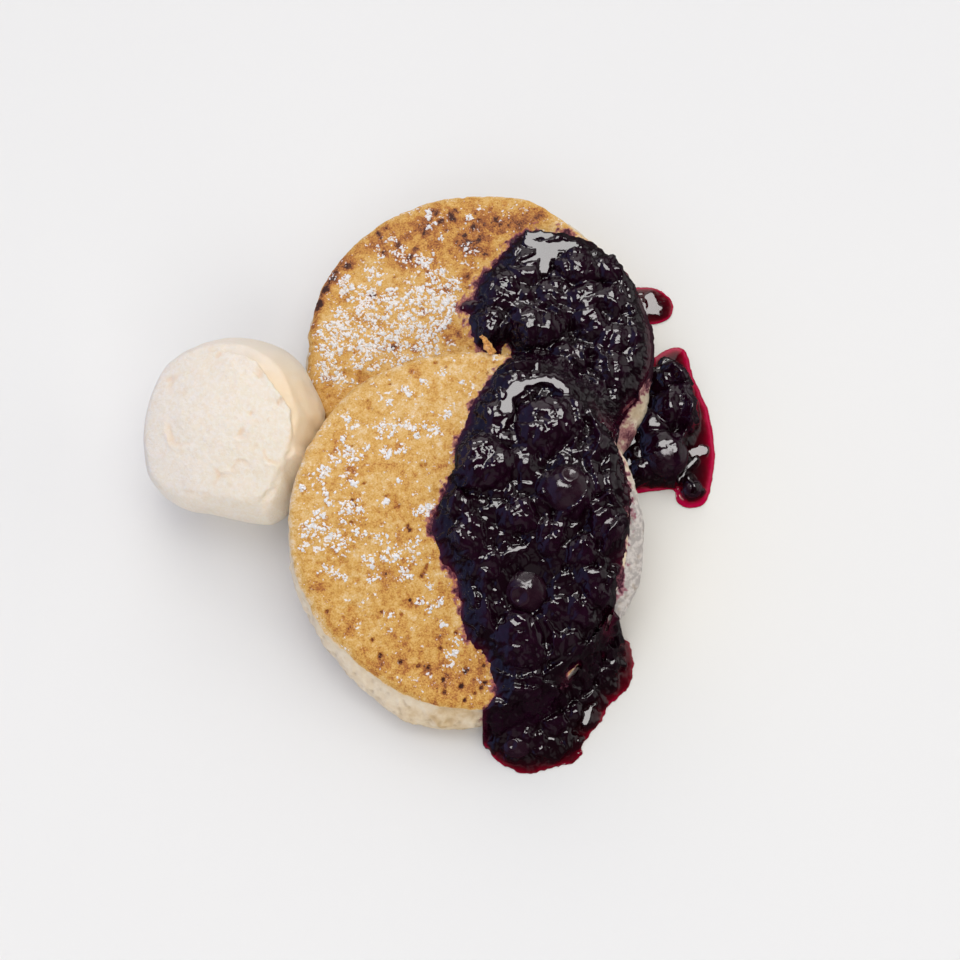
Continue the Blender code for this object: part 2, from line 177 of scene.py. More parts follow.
def make_piece(name, points, faces, material, replaces, fields=None):
    """A smooth mesh from points in design millimetres, with its named per-point fields."""
    mesh = bpy.data.meshes.new(name)
    placed = (np.asarray(points) + SHIFT) * MM
    faces = [np.asarray(f, np.int32) for f in faces if len(f)]
    corners = np.concatenate([f.reshape(-1) for f in faces])
    sizes = np.concatenate([np.full(len(f), f.shape[1], np.int32) for f in faces])
    mesh.vertices.add(len(placed))
    mesh.vertices.foreach_set("co", placed.astype(np.float32).reshape(-1))
    mesh.loops.add(len(corners))
    mesh.loops.foreach_set("vertex_index", corners)
    mesh.polygons.add(len(sizes))
    mesh.polygons.foreach_set("loop_start", np.concatenate([[0], np.cumsum(sizes)[:-1]]).astype(np.int32))
    mesh.polygons.foreach_set("use_smooth", np.ones(len(sizes), bool))
    mesh.update(calc_edges=True)
    mesh.validate()
    for key, values in (fields or {}).items():
        attribute = mesh.attributes.new(key, "FLOAT", "POINT")
        attribute.data.foreach_set("value", np.asarray(values, np.float32))
    made = bpy.data.objects.new(name, mesh)
    bpy.context.scene.collection.objects.link(made)
    mesh.materials.append(material)
    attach(made, "root")
    if replaces:
        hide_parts(*replaces)
    return made


def normals_of(points, quads):
    total = np.zeros_like(points)
    a, b, c, d = (points[quads[:, k]] for k in range(4))
    across = np.cross(c - a, d - b)
    for k in range(4):
        np.add.at(total, quads[:, k], across)
    return total / np.maximum(np.linalg.norm(total, axis=1, keepdims=True), 1e-9)


def blobs(x, y, spots, power=2.0):
    """Soft union of round spots (x, y, radius), from 0 to 1."""
    left = np.ones_like(x)
    for sx, sy, radius in spots:
        left = left * (1 - np.exp(-(np.hypot(x - sx, y - sy) / radius) ** power))
    return 1 - left


# ---------------------------------------------------------------- crumpet shapes
THICKNESS = 19.0
FACE_EDGE_LEVEL = 16.9       # height of the top face's edge over a crumpet's underside, mm
SHOULDER = 3.6               # width of the rounded shoulder inside that edge, mm
SAG_NEAR_Y, SAG_FAR_Y = -109.0, -42.0    # the front crumpet's underside rises between these
FRONT_RAISED = 19.3          # its height over the table beyond them, mm
EDGE_LEAST = 0.3             # least inset of a top face's edge from the waist, mm
SWELL, SWELL_CELL = 0.5, 17.0   # slow unevenness of a top face, mm


def bump(angle, middle, width):
    """1 at an angle (degrees), fading to 0 around it."""
    away = (np.degrees(angle) - middle + 180.0) % 360.0 - 180.0
    return np.exp(-(away / width) ** 2)


class Cake:
    """Outline (waves and bulges), lie and top edge of one crumpet."""

    def __init__(self, at, radius, wobble, raised, edge, seed):
        self.at, self.radius, self.wobble, self.raised, self.edge, self.seed = (
            at, radius, wobble, raised, edge, seed)

    def waist(self, angle):
        """Reach of the outline at the widest level."""
        waves, bulges = self.wobble
        waved = 1.0 + sum(size * np.cos(count * angle + phase) for count, size, phase in waves)
        bulged = sum(size * bump(angle, middle, width) for size, middle, width in bulges)
        return self.radius * waved + self.radius * bulged

    def edge_inset(self, angle):
        """How far inside the waist the top face's edge lies."""
        base, bumps = self.edge
        return base + sum(size * bump(angle, middle, width) for size, middle, width in bumps)

    def inset(self, x, y):
        dx, dy = x - self.at[0], y - self.at[1]
        return self.waist(np.arctan2(dy, dx)) - np.hypot(dx, dy)

    def swell(self, x, y):
        slow = plan_fbm(x, y, SWELL_CELL, 2, self.seed)
        return SWELL * slow + 0.2 * plan_fbm(x, y, 5.0, 2, self.seed + 3)


def flat_lie(y):
    """Height of the back crumpet's underside over the table."""
    return np.zeros_like(y)


def leaning_lie(y):
    """Height of the front crumpet's underside over the table."""
    return FRONT_RAISED * smooth((y - SAG_NEAR_Y) / (SAG_FAR_Y - SAG_NEAR_Y))


BACK = Cake((0.0, 2.2), 50.0, (((2, 0.006, 0.7), (3, 0.007, 2.1), (5, 0.004, 0.4), (9, 0.002, 1.3)), ()),
            flat_lie, (0.7, ((2.8, 50, 18), (4.6, -32, 17), (-0.7, 8, 20), (1.2, 98, 30))), 11)
FRONT = Cake((-4.0, -58.0), 50.3,
             (((2, 0.007, 2.0), (3, 0.006, 0.3), (5, 0.004, 1.9), (8, 0.003, 0.8)),
              ((-0.030, -142, 15), (0.026, -106, 15), (-0.036, -28, 10), (-0.016, -8, 12),
               (-0.035, -42, 12))),
             leaning_lie, (0.9, ((4.0, -5, 38), (3.4, -110, 26), (-1.6, 80, 16))), 41)
SHIFT = frame_shift()

FACE_CELLS = 108             # half the cells across a crumpet's face
SIDE_ROWS = 44


def concentric_face(cells):
    """A square grid mapped evenly onto the unit disc: x, y, its quads and its outer loop."""
    steps = np.arange(-cells, cells + 1) / cells
    a, b = np.meshgrid(steps, steps, indexing="ij")
    wide = np.abs(a) > np.abs(b)
    safe_a, safe_b = np.where(a == 0, 1, a), np.where(b == 0, 1, b)
    reach = np.where(wide, a, b)
    turn = np.where(wide, np.pi / 4 * b / safe_a, np.pi / 2 - np.pi / 4 * a / safe_b)
    x, y = (reach * np.cos(turn)).reshape(-1), (reach * np.sin(turn)).reshape(-1)
    side = 2 * cells + 1
    index = np.arange(side * side).reshape(side, side)
    quads = np.stack([index[:-1, :-1], index[1:, :-1], index[1:, 1:], index[:-1, 1:]], -1).reshape(-1, 4)
    loop = np.concatenate([index[:-1, 0], index[-1, :-1], index[:0:-1, -1], index[0, :0:-1]])
    return x, y, quads, loop


def side_rows(edge):
    """Inset and level of the rows down a crumpet's side: crust, seam, puffy waist, underside."""
    knots = [(edge, FACE_EDGE_LEVEL), (edge - 0.16, 16.2), (edge - 0.14, 15.4), (edge * 0.96, 14.5),
             (edge * 0.8, 13.4), (edge * 0.5, 11.9), (edge * 0.16, 10.0), (0.0, 7.6),
             (0.5, 4.8), (1.6, 2.2), (3.4, 0.6), (6.0, 0.0)]
    inset = np.array([k[0] + np.zeros_like(edge) for k in knots])
    level = np.array([k[1] + np.zeros_like(edge) for k in knots])
    at = np.linspace(0, len(knots) - 1, SIDE_ROWS + 1)
    low = np.clip(np.floor(at).astype(int), 0, len(knots) - 2)
    part = (at - low)[:, None]

    def spline(values):
        before, after = values[np.maximum(low - 1, 0)], values[np.minimum(low + 2, len(knots) - 1)]
        start, end = values[low], values[low + 1]
        return curve_between(before, start, end, after, part)
    return spline(inset), spline(level)


def shoulder(inward):
    """Round rise from 0 at the face's edge to 1 at the shoulder's width inside it."""
    return np.sqrt(1 - (1 - np.clip(inward / SHOULDER, 0, 1)) ** 2)


def crumpet_shell(cake):
    """Points, quads, closing triangles, level and skin (1 crust, 0 crumb) before any bend."""
    x, y, quads, loop = concentric_face(FACE_CELLS)
    angle, share = np.arctan2(y, x), np.hypot(x, y)
    edge = cake.edge_inset(angle)
    reach = share * (cake.waist(angle) - edge)
    inward = cake.waist(angle) - reach - edge
    level = FACE_EDGE_LEVEL + (THICKNESS - FACE_EDGE_LEVEL) * shoulder(inward)
    points = [flat3(cake.at[0] + reach * np.cos(angle), cake.at[1] + reach * np.sin(angle), level)]
    levels, faces, skin = [level], [quads], [np.ones_like(level)]
    turn = angle[loop]
    inset, height = side_rows(cake.edge_inset(turn))
    waist = cake.waist(turn)
    rows = [(waist - inset[r], height[r]) for r in range(1, SIDE_ROWS + 1)]
    rows += [((waist - 6.0) * part, np.zeros_like(turn)) for part in (0.88, 0.7, 0.5, 0.25)]
    above, count, size = loop, len(x), len(loop)
    for number, (run, up) in enumerate(rows):
        points.append(flat3(cake.at[0] + run * np.cos(turn), cake.at[1] + run * np.sin(turn), up))
        levels.append(up)
        skin.append(smooth((up - 15.0) / 1.2) + smooth((1.2 - up) / 1.0))
        below = np.arange(count, count + size)
        count += size
        faces.append(np.stack([above, below, np.roll(below, -1), np.roll(above, -1)], 1))
        above = below
    points.append(np.array([[cake.at[0], cake.at[1], 0.0]]))
    levels.append([0.0])
    skin.append([1.0])
    closing = np.stack([above, np.full(size, count), np.roll(above, -1)], 1)
    return (np.concatenate(points), np.concatenate(faces), closing, np.concatenate(levels),
            np.concatenate(skin))


# Where the rim isn't browned: right of x and nearer than y.
PALE_RIMS = {"crumpet_back": (43.0, 26.0), "crumpet_front": (34.0, -44.0)}
# Where sauce has run down the side: right of x and farther than y; nowhere on the front crumpet.
SAUCED_RIMS = {"crumpet_back": (42.0, -9.5), "crumpet_front": (99.0, 0.0)}
# Browner places on the sides, and one stained by syrup: x, y, share, reach.
TOASTED_SIDES = ((-8.0, -107.0, 0.9, 15.0), (42.5, -17.5, 0.75, 6.0))
STAINED_SIDE = (43.2, -23.5, 0.9, 4.6)
FACE_FROM, FACE_BLEND = 15.6, 1.4        # level where the top face's look begins; its blend, mm
SIDE_FROM, SIDE_BLEND = 0.4, 2.0         # the same for the crumb side
SOAK_REACH, SOAK_BLEND = 1.5, 2.4        # how far the sauce soaks past its edge; its blend, mm
SHADE_FAR_Y, SHADE_BLEND, SHADE_LEAST = -38.0, 12.0, 0.2   # the sides are painted greyer, as shade, nearer than this


def bump_at(x, y, place):
    """1 at a place (x, y, share, reach), fading to 0 around it."""
    return np.exp(-((x - place[0]) ** 2 + (y - place[1]) ** 2) / place[3] ** 2)


def dent_field(x, y, spots, warp):
    """Depth shares of round holes whose edges are roughened by warp."""
    depth = np.zeros_like(x)
    for sx, sy, radius in spots:
        away = np.hypot(x - sx, y - sy) / radius + warp
        depth = np.maximum(depth, smooth(1.5 - away * 1.1))
    return depth


DENT_DEPTH, PRICK_DEPTH = 0.8, 0.3       # in the face, mm
PORE_DEPTH, LARGE_PORE_DEPTH = 0.45, 0.25    # in the sides, mm; a large pore adds to the first
BACK_CHAR = ((-13.1, 44.1, 1.1), (-11.6, 41.5, 1.1), (-7.1, 44.7, 0.8), (-8.6, 42.5, 1.4),
             (-2.1, 39.6, 0.9), (-27.6, 39.4, 1.1), (-29.5, 37.2, 0.8), (-38.3, 26.8, 1.2),
             (-42.5, 23.1, 0.8), (-44.7, 19.7, 0.9), (-46.5, 15.5, 0.9), (-23.9, 33.7, 1.4),
             (-18.8, 32.3, 1.1), (-20.5, 29.2, 1.4), (-28.1, 31.2, 1.1), (-15.4, 24.7, 0.9),
             (-24.7, 23.3, 0.6), (-31.1, 17.7, 1.0), (-16.4, 37.2, 0.9), (-4.5, 37, 0.6),
             (-0.4, 35.3, 0.6), (1.5, 30.1, 1.0), (-27.6, 0.7, 0.6), (-29.2, 4.9, 0.6),
             (-11.9, 7.4, 0.9), (-8.9, 10, 0.6), (-49, -9.1, 1.0), (-43.7, -8.7, 0.6), (-25.4, 1.3, 0.9))
BACK_BROWN = ((-47, 14.6, 2.2), (-44.8, 19.3, 2.2), (-41.4, 24.1, 2.2), (-37.9, 28.2, 2.2),
              (-33.6, 32, 2.5), (-27.8, 35.2, 4.2), (-21.9, 36.8, 4.8), (-16.1, 40, 5.2),
              (-8.8, 41.7, 5.8), (-1.5, 41, 5.8), (5.9, 40, 5.4), (11.7, 41, 4.4), (17.6, 42.3, 3.2),
              (-23.3, 28.2, 3.6), (-17.5, 28.2, 4.2), (-11.7, 32, 4.8), (-4.4, 33.6, 4.8),
              (1.5, 33.6, 3.6), (-16.3, 12.7, 1.6), (-7.4, 5.8, 2.4), (-3.9, 24.4, 1.8),
              (-18.6, 1.1, 1.6), (-9.2, 3.4, 1.8), (-31.4, 17.4, 1.6), (-48.9, 8.3, 1.4),
              (-10.2, 19.3, 1.8), (-24.6, 2, 1.6))
BACK_DENTS = ((-39.2, 17.7, 2.0), (-34.5, 10.6, 1.4), (-38.7, -6.9, 1.4), (-34.1, -8.1, 1.7),
              (-31.3, 9.2, 2.3), (-2.9, 28.2, 1.7))
BACK_SUGAR = ((-33.4, 16.2, 4.0), (-23.2, 14.6, 6.3), (-14.5, 16.2, 5.7), (-10.2, 14.6, 3.4),
              (-39.1, 8.3, 5.1), (-30.4, 6.7, 5.7), (-20.3, 6.7, 6.3), (-11.6, 9.9, 4.0),
              (-41.9, 0.5, 4.6), (-33.2, 0.5, 5.7), (-24.5, -1.1, 4.6), (-15.9, 2, 4.6),
              (-44.6, -6.4, 3.4), (-38.8, -8.8, 2.3), (-29.2, 31.4, 2.0), (-22.8, 30.4, 2.3),
              (-16, 28.2, 2.9), (-12.2, 25, 2.3), (-39.2, 19.3, 2.3), (-15.3, 43.3, 1.4),
              (-14.4, 39.7, 1.4), (-25.7, 35.9, 1.4), (-2.9, 42.9, 1.1), (-7.3, 20.9, 2.3),
              (-43.4, 6.7, 2.9), (-30.6, 24.1, 2.9), (-37.9, 24.1, 1.7), (-10.2, 35.2, 1.4),
              (-2.9, 32, 1.1))
FRONT_HOLES = ((-26, -50.9, 0.6), (-22.8, -53.6, 0.95), (-20.2, -59, 0.7), (-19.4, -59.9, 0.7),
               (-32.2, -47.2, 0.5), (-34.5, -53.4, 0.5), (-35.5, -51.8, 0.4), (-35.7, -58, 0.6),
               (-14.7, -69.2, 0.5), (-15, -70.1, 0.5), (-15.5, -71.2, 0.55), (-16.1, -71.8, 0.5),
               (-42.5, -81.1, 0.6), (-27.3, -81.1, 0.5), (-21.8, -81.6, 0.5), (-12.4, -10.9, 0.75),
               (-6.7, -86.5, 0.65), (-11.1, -90.5, 0.75), (-3.9, -96.2, 0.9), (-5.2, -100.6, 0.6),
               (-9.8, -102.2, 0.7), (-10.3, -98.7, 0.55), (1.4, -99.7, 0.7), (0.3, -101.1, 0.7),
               (-4.4, -104.6, 0.7), (-1.4, -102.5, 0.6), (-14.3, -95.6, 0.6), (-27.8, -92.3, 0.7),
               (-22.2, -94.1, 0.7), (-17.2, -95.2, 0.7), (1.1, -94.9, 0.65), (-25.3, -17.6, 0.5),
               (-31.4, -22.7, 0.45), (-35.7, -36.2, 0.45), (-19.4, -78.1, 0.45), (-30, -88.4, 0.5))
FRONT_DENTS = ((-35.4, -79.5, 1.3), (-15.8, -41.9, 0.9), (-12, -50.4, 1.7), (-23.6, -52.1, 1.1),
               (-38.3, -67.8, 0.9), (-22.4, -28.7, 0.9))
FRONT_BROWN = ((-22.3, -62.3, 2.9), (-21.6, -67.8, 2.3), (-38.8, -33.7, 1.8), (-45.7, -75.8, 2.9),
               (-28, -72.4, 2.3), (-6.9, -97.9, 5.2), (-13.9, -95.7, 3.5), (-1.4, -100.3, 3.0),
               (-20.8, -95.7, 2.4), (-26.4, -93.6, 2.4), (-19.4, -78.1, 2.3), (-36.1, -85.8, 2.9),
               (-41.6, -78.1, 2.3), (-11.2, -19.7, 2.3), (-18.3, -14.3, 2.3), (-22.2, -88.4, 2.9),
               (-29.4, -25.7, 2.3), (-32.3, -16.7, 1.8), (-35.6, -43.6, 1.8), (-25, -75.5, 2.9),
               (-11.1, -88.4, 2.9), (-40.4, -37.7, 2.3))
FRONT_SUGAR = ((-36.3, -30.2, 1.7), (-28, -30.2, 2.3), (-24.6, -30.2, 2.0), (-17.9, -30.5, 2.6),
               (-25.1, -37.7, 2.3), (-38.5, -36.8, 2.6), (-43.1, -45.1, 2.3), (-42.7, -50.7, 2.6),
               (-37.5, -53.4, 2.3), (-36.3, -55.3, 2.9), (-46.3, -60.1, 2.6), (-38.8, -63.2, 2.6),
               (-41.6, -61.4, 2.3), (-26.3, -62.7, 2.3), (-25, -65.8, 2.6), (-30.5, -67.8, 2.0),
               (-18, -64, 1.7), (-18, -66.6, 1.7), (-40.4, -40.7, 2.3), (-35.7, -39.2, 2.3),
               (-50, -49.3, 1.4), (-49.1, -64, 1.7), (-30, -71.7, 1.7), (-38.8, -71.7, 1.4),
               (-16.6, -54.8, 2.0), (-13.9, -55.3, 1.7), (-22.2, -46.5, 1.4), (-20.9, -37.7, 1.4),
               (-36.1, -46.5, 1.7), (-32, -37.7, 1.4), (-26.4, -52.1, 1.1), (-41.6, -70.4, 1.7),
               (-13.9, -74.2, 1.4), (-21, -20.3, 1.7), (-11.2, -15.2, 1.4), (-4.2, -18.2, 1.4),
               (-15.5, -16.7, 1.4), (-26.6, -22.7, 1.4), (-8.4, -25.7, 1.4), (-12.6, -31.7, 1.4),
               (-25, -82.7, 1.4), (-15.3, -79.3, 1.7), (-11.1, -78.1, 1.4), (-5.6, -88.4, 1.4),
               (-11.1, -84.5, 1.1), (-7.8, -92.3, 1.4), (-20.8, -71.7, 1.7), (-44.9, -55.3, 1.7),
               (-33.3, -61.4, 1.7))


def back_browning(x, y):
    """Griddle colour of the back crumpet: a brown band along its far left, golden elsewhere."""
    band = blobs(x, y, BACK_BROWN)
    patch = 0.5 + 0.5 * plan_fbm(x, y, 5.0, 3, 71, 0.6)
    fine = plan_fbm(x, y, 1.5, 2, 73)
    inset = BACK.inset(x, y)
    angle = np.arctan2(y - BACK.at[1], x - BACK.at[0])
    rim = np.exp(-((inset - 1.6) / 1.3) ** 2) * bump(angle, 155, 22)
    outer = smooth((3.4 - inset) / 2.6) * bump(angle, 92, 44)
    right = smooth((x + 5) / 30) * (1 - band)
    return (0.335 + 0.26 * (patch - 0.5) + 0.16 * fine + band * (0.22 + 0.26 * patch) + 0.4 * rim
            - 0.42 * outer - 0.16 * right)


def front_browning(x, y):
    """Griddle colour of the front crumpet: tan and mottled, browner towards its near edge."""
    band = blobs(x, y, FRONT_BROWN)
    patch = 0.5 + 0.5 * plan_fbm(x, y, 6.0, 3, 81, 0.6)
    fine = plan_fbm(x, y, 1.4, 2, 83)
    pale_rim = smooth((3.4 - FRONT.inset(x, y)) / 2.6)
    near, far = smooth((-84 - y) / 14.0), smooth((y + 46) / 20.0)
    return (0.345 + 0.26 * (patch - 0.5) + 0.2 * fine + band * (0.1 + 0.2 * patch) + 0.1 * near - 0.09 * far
            - 0.26 * pale_rim * (1 - 0.7 * far))


def crumpet_points(cake, shell, normals, level, top, side, dents, holes):
    """Pushes the skin in and out: swells, fine grain, dents, holes, and bubbly sides."""
    x, y = shell[:, 0], shell[:, 1]
    grain = 0.24 * plan_fbm(x, y, 1.3, 3, cake.seed + 5, 0.6)
    spacing = flat3(x + 0.8 * plan_noise(x, y, 2.7, 3), y + 0.8 * plan_noise(x, y, 2.7, 4)) / 3.4
    pricks = smooth(1.25 - bubbles(spacing, cake.seed + 7) * 3.6)
    face = cake.swell(x, y) + grain - DENT_DEPTH * dents - DENT_DEPTH * holes - PRICK_DEPTH * pricks
    puff = 0.9 * fbm(shell / 7.0, 2, cake.seed + 9) + 0.45 * fbm(shell / 2.4, 2, cake.seed + 11)
    wandering = shell / 1.9 + 0.35 * noise(shell / 4.0, 8)[:, None]
    shaded_pores = smooth(1.15 - bubbles(wandering, cake.seed + 13, 0.5) * 2.3) * smooth((14.2 - level) / 2.0)
    large = smooth(1.1 - bubbles(shell / 4.3, cake.seed + 17, 0.45) * 2.4) * smooth((13.6 - level) / 2.0)
    shaded_pores = np.maximum(shaded_pores, large)
    crumb = puff - PORE_DEPTH * shaded_pores - LARGE_PORE_DEPTH * large + 0.2 * fbm(shell / 0.9, 2, cake.seed + 15)
    return shell + normals * (face * top + crumb * side * (1 - top))[:, None], shaded_pores * (1 - top), pricks


def sauce_stains(node, cake, points, level, top, x, y):
    """Where sauce colours a crumpet: round its edge, where it ran down, and in one soaked place."""
    run_x, run_y = SAUCED_RIMS[node]
    ragged = fbm(points / 2.5, 3, cake.seed + 31)
    run_down = (smooth((x - run_x) / 2.5) * smooth((y - run_y) / 3.0 + 0.6 * ragged)
                * smooth((level - 5.0) / 3.0 + 1.1 * ragged))
    soak = sauce_inset(x, y)[0]
    fine = plan_fbm(x, y, 1.2, 3, cake.seed + 23, 0.65)
    wide = plan_fbm(x, y, 6.0, 2, cake.seed + 25)
    edge = smooth((soak + SOAK_REACH + 2.6 * fine + 2.2 * wide) / SOAK_BLEND)
    edge = edge * (0.1 + 0.9 * np.maximum(top, smooth((level - 8.0) / 4.0)))
    place = STAINED_SIDE[2] * bump_at(x, y, STAINED_SIDE)
    return np.maximum.reduce((1.35 * run_down, edge,
                              place * smooth(0.9 + 0.8 * fbm(points / 2.0, 2, cake.seed + 27))))


def make_crumpet(name, node, cake, browning, char, dents, holes, sugar, material):
    """One crumpet: its skin, and the fields that its look is coloured by."""
    shell, quads, closing, level, skin = crumpet_shell(cake)
    x, y = shell[:, 0].copy(), shell[:, 1].copy()
    under = cake.raised(y)
    shell[:, 2] += under
    normals = normals_of(shell, quads)
    top = smooth((level - FACE_FROM) / FACE_BLEND)
    side = smooth((level - SIDE_FROM) / SIDE_BLEND)
    warp = 0.4 * plan_fbm(x, y, 1.0, 2, cake.seed + 21)
    dent_depth = dent_field(x, y, dents, warp) * top
    hole_depth = dent_field(x, y, holes, warp) * top
    points, shaded_pores, pricks = crumpet_points(cake, shell, normals, level, top, side, dent_depth, hole_depth)
    points[:, 2] = np.maximum(points[:, 2], under)
    pale_x, pale_y = PALE_RIMS[node]
    toasted = sum(place[2] * bump_at(x, y, place) for place in TOASTED_SIDES)
    toasted = toasted * (1 - top) * smooth(0.5 + 1.2 * fbm(points / 5.0, 2, cake.seed + 29))
    # painted shade: the wet field paints the crumb side grey towards the crumpet's right and near side,
    # where it lies in shade
    wet = smooth((x - cake.at[0]) / 30.0 + 0.1) * (1 - top) * smooth((level - 1) / 5)
    wet = wet * (SHADE_LEAST + (1 - SHADE_LEAST) * smooth((SHADE_FAR_Y - y) / SHADE_BLEND))
    fields = {
        "brown": np.clip(browning(x, y) * top + 0.45 * (1 - side) * (1 - top), 0, 1),
        "crust": np.clip(skin, 0, 1) * (1 - smooth((x - pale_x) / 3) * smooth((pale_y - y) / 8)),
        "char": np.clip(blobs(x + 1.4 * warp, y - 1.7 * warp, char, 3.2), 0, 1) * top,
        # painted shade: darkens the top's holes, dents and pricks
        "hole_shade": hole_depth,
        "dent_shade": np.maximum(dent_depth, 0.7 * pricks * top),
        # painted shade: darkens the pores of the crumb side
        "shaded_pores": shaded_pores,
        "sugar": (0.15 + 0.85 * np.clip(blobs(x, y, sugar), 0, 1)) * top,
        "stain": sauce_stains(node, cake, points, level, top, x, y),
        "toasted": toasted,
        "wet": wet,
    }
    return make_piece(name, points, (quads, closing), material, (node,), fields)


# ---------------------------------------------------------------- compote shapes
COMPOTE_ON_BACK = ((14.6, 37.6), (9.7, 35.2), (5.9, 30.4), (3.4, 26.2), (0.2, 23.2), (-1.2, 19),
                   (-2.2, 16.6), (-5.4, 15.2), (-6.0, 12.8), (-2.9, 11.6), (-3.6, 8.5), (-2.4, 4.6),
                   (0, 0.6), (3.4, -1.2), (5.6, -2.2), (6.9, 1.4), (8.3, 1.6), (9.3, -2.2), (11, -12),
                   (22, -24), (36.8, -30.4), (39.4, -25), (41.0, -19.4), (43.2, -15.6), (45.6, -13),
                   (47.4, -9.2), (49.2, -4.5), (49.7, 2), (49.3, 8.4), (47.7, 16.4), (43.6, 25.6),
                   (36.3, 33.6), (27.5, 36.5), (17.5, 38.6))
COMPOTE_ON_FRONT = ((13, -4), (9.6, -7.5), (7.4, -10.8), (5.2, -12.6), (3.1, -15.5), (0.9, -18.8),
                    (-0.9, -22.2), (-3.0, -26.6), (-4.2, -30.3), (-5.9, -34.5), (-7.2, -38.6),
                    (-7.6, -43), (-9.4, -48), (-11, -52), (-13.3, -60), (-11, -67), (-7, -72),
                    (-5.6, -78), (-4, -88), (0.2, -91.5), (3.0, -96.2), (4.4, -101.5), (6.0, -110),
                    (16, -110), (21, -101.2), (25.4, -97.6), (27.8, -95.2), (30, -92.6), (32, -90.0),
                    (34, -87.3), (35.8, -84.2), (36.9, -80.6), (37.7, -77), (38.8, -72), (40.4, -66),
                    (41.9, -57), (41.9, -46.5), (40.0, -38), (38.2, -32.4), (36.4, -28), (38, -18),
                    (30, -8))
FRONT_POOL = ((5, -102.4), (2.8, -105.2), (0.8, -108), (1.3, -112), (3.4, -115), (5.6, -117.6),
              (9.8, -119.8), (14, -120.3), (22.5, -118.4), (26.7, -117.0), (29, -112.8), (33.6, -105.8),
              (37.6, -99.8), (42.4, -94), (44.1, -87.5), (42.4, -82.4), (40.0, -80.4), (36.4, -80.2),
              (32.0, -82.0), (28.5, -85.5), (24, -89.6), (19, -92.5), (14, -95), (8, -96))
RIGHT_POOL = ((53.5, 7.5), (50, 4), (45, -5), (42, -18), (40, -30), (43, -36), (50.7, -36), (56, -35.8),
              (57.2, -39.4), (60.8, -41.2), (65.2, -39.4), (67.6, -32.5), (68.5, -23.8), (67.4, -13.8),
              (65.1, -6), (63.0, -0.8), (61.9, 4.4), (60.8, 7.8), (58.4, 9.3), (55.8, 8.6))
SYRUP_DROP = ((44, 28), (42, 24), (44, 18), (47.5, 16.3), (52.6, 16.6), (56, 18.3), (57.2, 21.8),
              (56, 25.2), (52.6, 27.9), (48.6, 28.4))
SAUCE_CELL = 0.31            # spacing of the sauce surface's points, mm
SAUCE_SET = 1.3              # how far the sauce reaches into what it lies on, mm
SAUCE_LEAST = 0.12           # least depth of a body of sauce, mm


def rounded_outline(corners, step=0.9):
    """A closed smooth curve through the corners."""
    p = np.array(corners, float)
    before, after, far = np.roll(p, 1, 0), np.roll(p, -1, 0), np.roll(p, -2, 0)
    rows = []
    for k in range(len(p)):
        parts = max(2, int(np.linalg.norm(after[k] - p[k]) / step))
        t = (np.arange(parts) / parts)[:, None]
        rows.append(curve_between(before[k], p[k], after[k], far[k], t))
    return np.concatenate(rows)


def outline_inset(x, y, outline):
    """Signed distance in from a closed outline, and the direction inwards."""
    best = np.full(len(x), 1e9)
    px, py = np.zeros_like(x), np.zeros_like(y)
    inside = np.zeros(len(x), bool)
    for (x0, y0), (x1, y1) in zip(outline, np.roll(outline, -1, 0)):
        dx, dy = x1 - x0, y1 - y0
        along = np.clip(((x - x0) * dx + (y - y0) * dy) / (dx * dx + dy * dy), 0, 1)
        ex, ey = x - (x0 + along * dx), y - (y0 + along * dy)
        away = ex * ex + ey * ey
        near = away < best
        best[near], px[near], py[near] = away[near], ex[near], ey[near]
        if y0 != y1:
            crossed = ((y0 > y) != (y1 > y)) & (x < dx * (y - y0) / dy + x0)
            inside ^= crossed
    away = np.sqrt(best)
    sign = np.where(inside, 1.0, -1.0)
    safe = np.maximum(away, 1e-6)
    return away * sign, px / safe * sign, py / safe * sign


def joined_inset(x, y, outlines):
    """The greatest inset among joined outlines, with its inward direction."""
    best, ux, uy = outline_inset(x, y, outlines[0])
    for outline in outlines[1:]:
        inset, vx, vy = outline_inset(x, y, outline)
        more = inset > best
        best, ux, uy = np.where(more, inset, best), np.where(more, vx, ux), np.where(more, vy, uy)
    return best, ux, uy


COMPOTE_CORNERS = (COMPOTE_ON_BACK, COMPOTE_ON_FRONT, FRONT_POOL)
COMPOTE_OUTLINES = [rounded_outline(corners) for corners in COMPOTE_CORNERS]


# Places the sauce leaves bare: capsules (x0, y0, x1, y1, radius).
BARE = ((36.6, -80.6, 35.2, -84.4, 0.55), (27.6, -94.4, 24.4, -97.2, 0.55))
EVEN_EDGE_X, EVEN_EDGE_BLEND, EVENED = 44.0, 4.0, 0.6   # the outline is less ragged right of this x


def edge_warp(x, y):
    """Raggedness of the sauce's outline, mm."""
    return 0.8 * plan_fbm(x, y, 3.6, 2, 5) + 0.4 * plan_fbm(x, y, 1.3, 2, 6)


def sauce_inset(x, y, outlines=None):
    """How far inside the compote's uneven outline a place lies, with the inward direction."""
    inset, ux, uy = joined_inset(x, y, outlines or COMPOTE_OUTLINES)
    inset = inset + edge_warp(x, y) * (1 - EVENED * smooth((x - EVEN_EDGE_X) / EVEN_EDGE_BLEND))
    for x0, y0, x1, y1, radius in BARE:
        ex, ey = off_segment(x, y, x0, y0, x1, y1)
        away = np.maximum(np.hypot(ex, ey), 1e-6)
        less = away - radius < inset
        inset, ux, uy = (np.where(less, away - radius, inset), np.where(less, ex / away, ux),
                         np.where(less, ey / away, uy))
    return inset, ux, uy


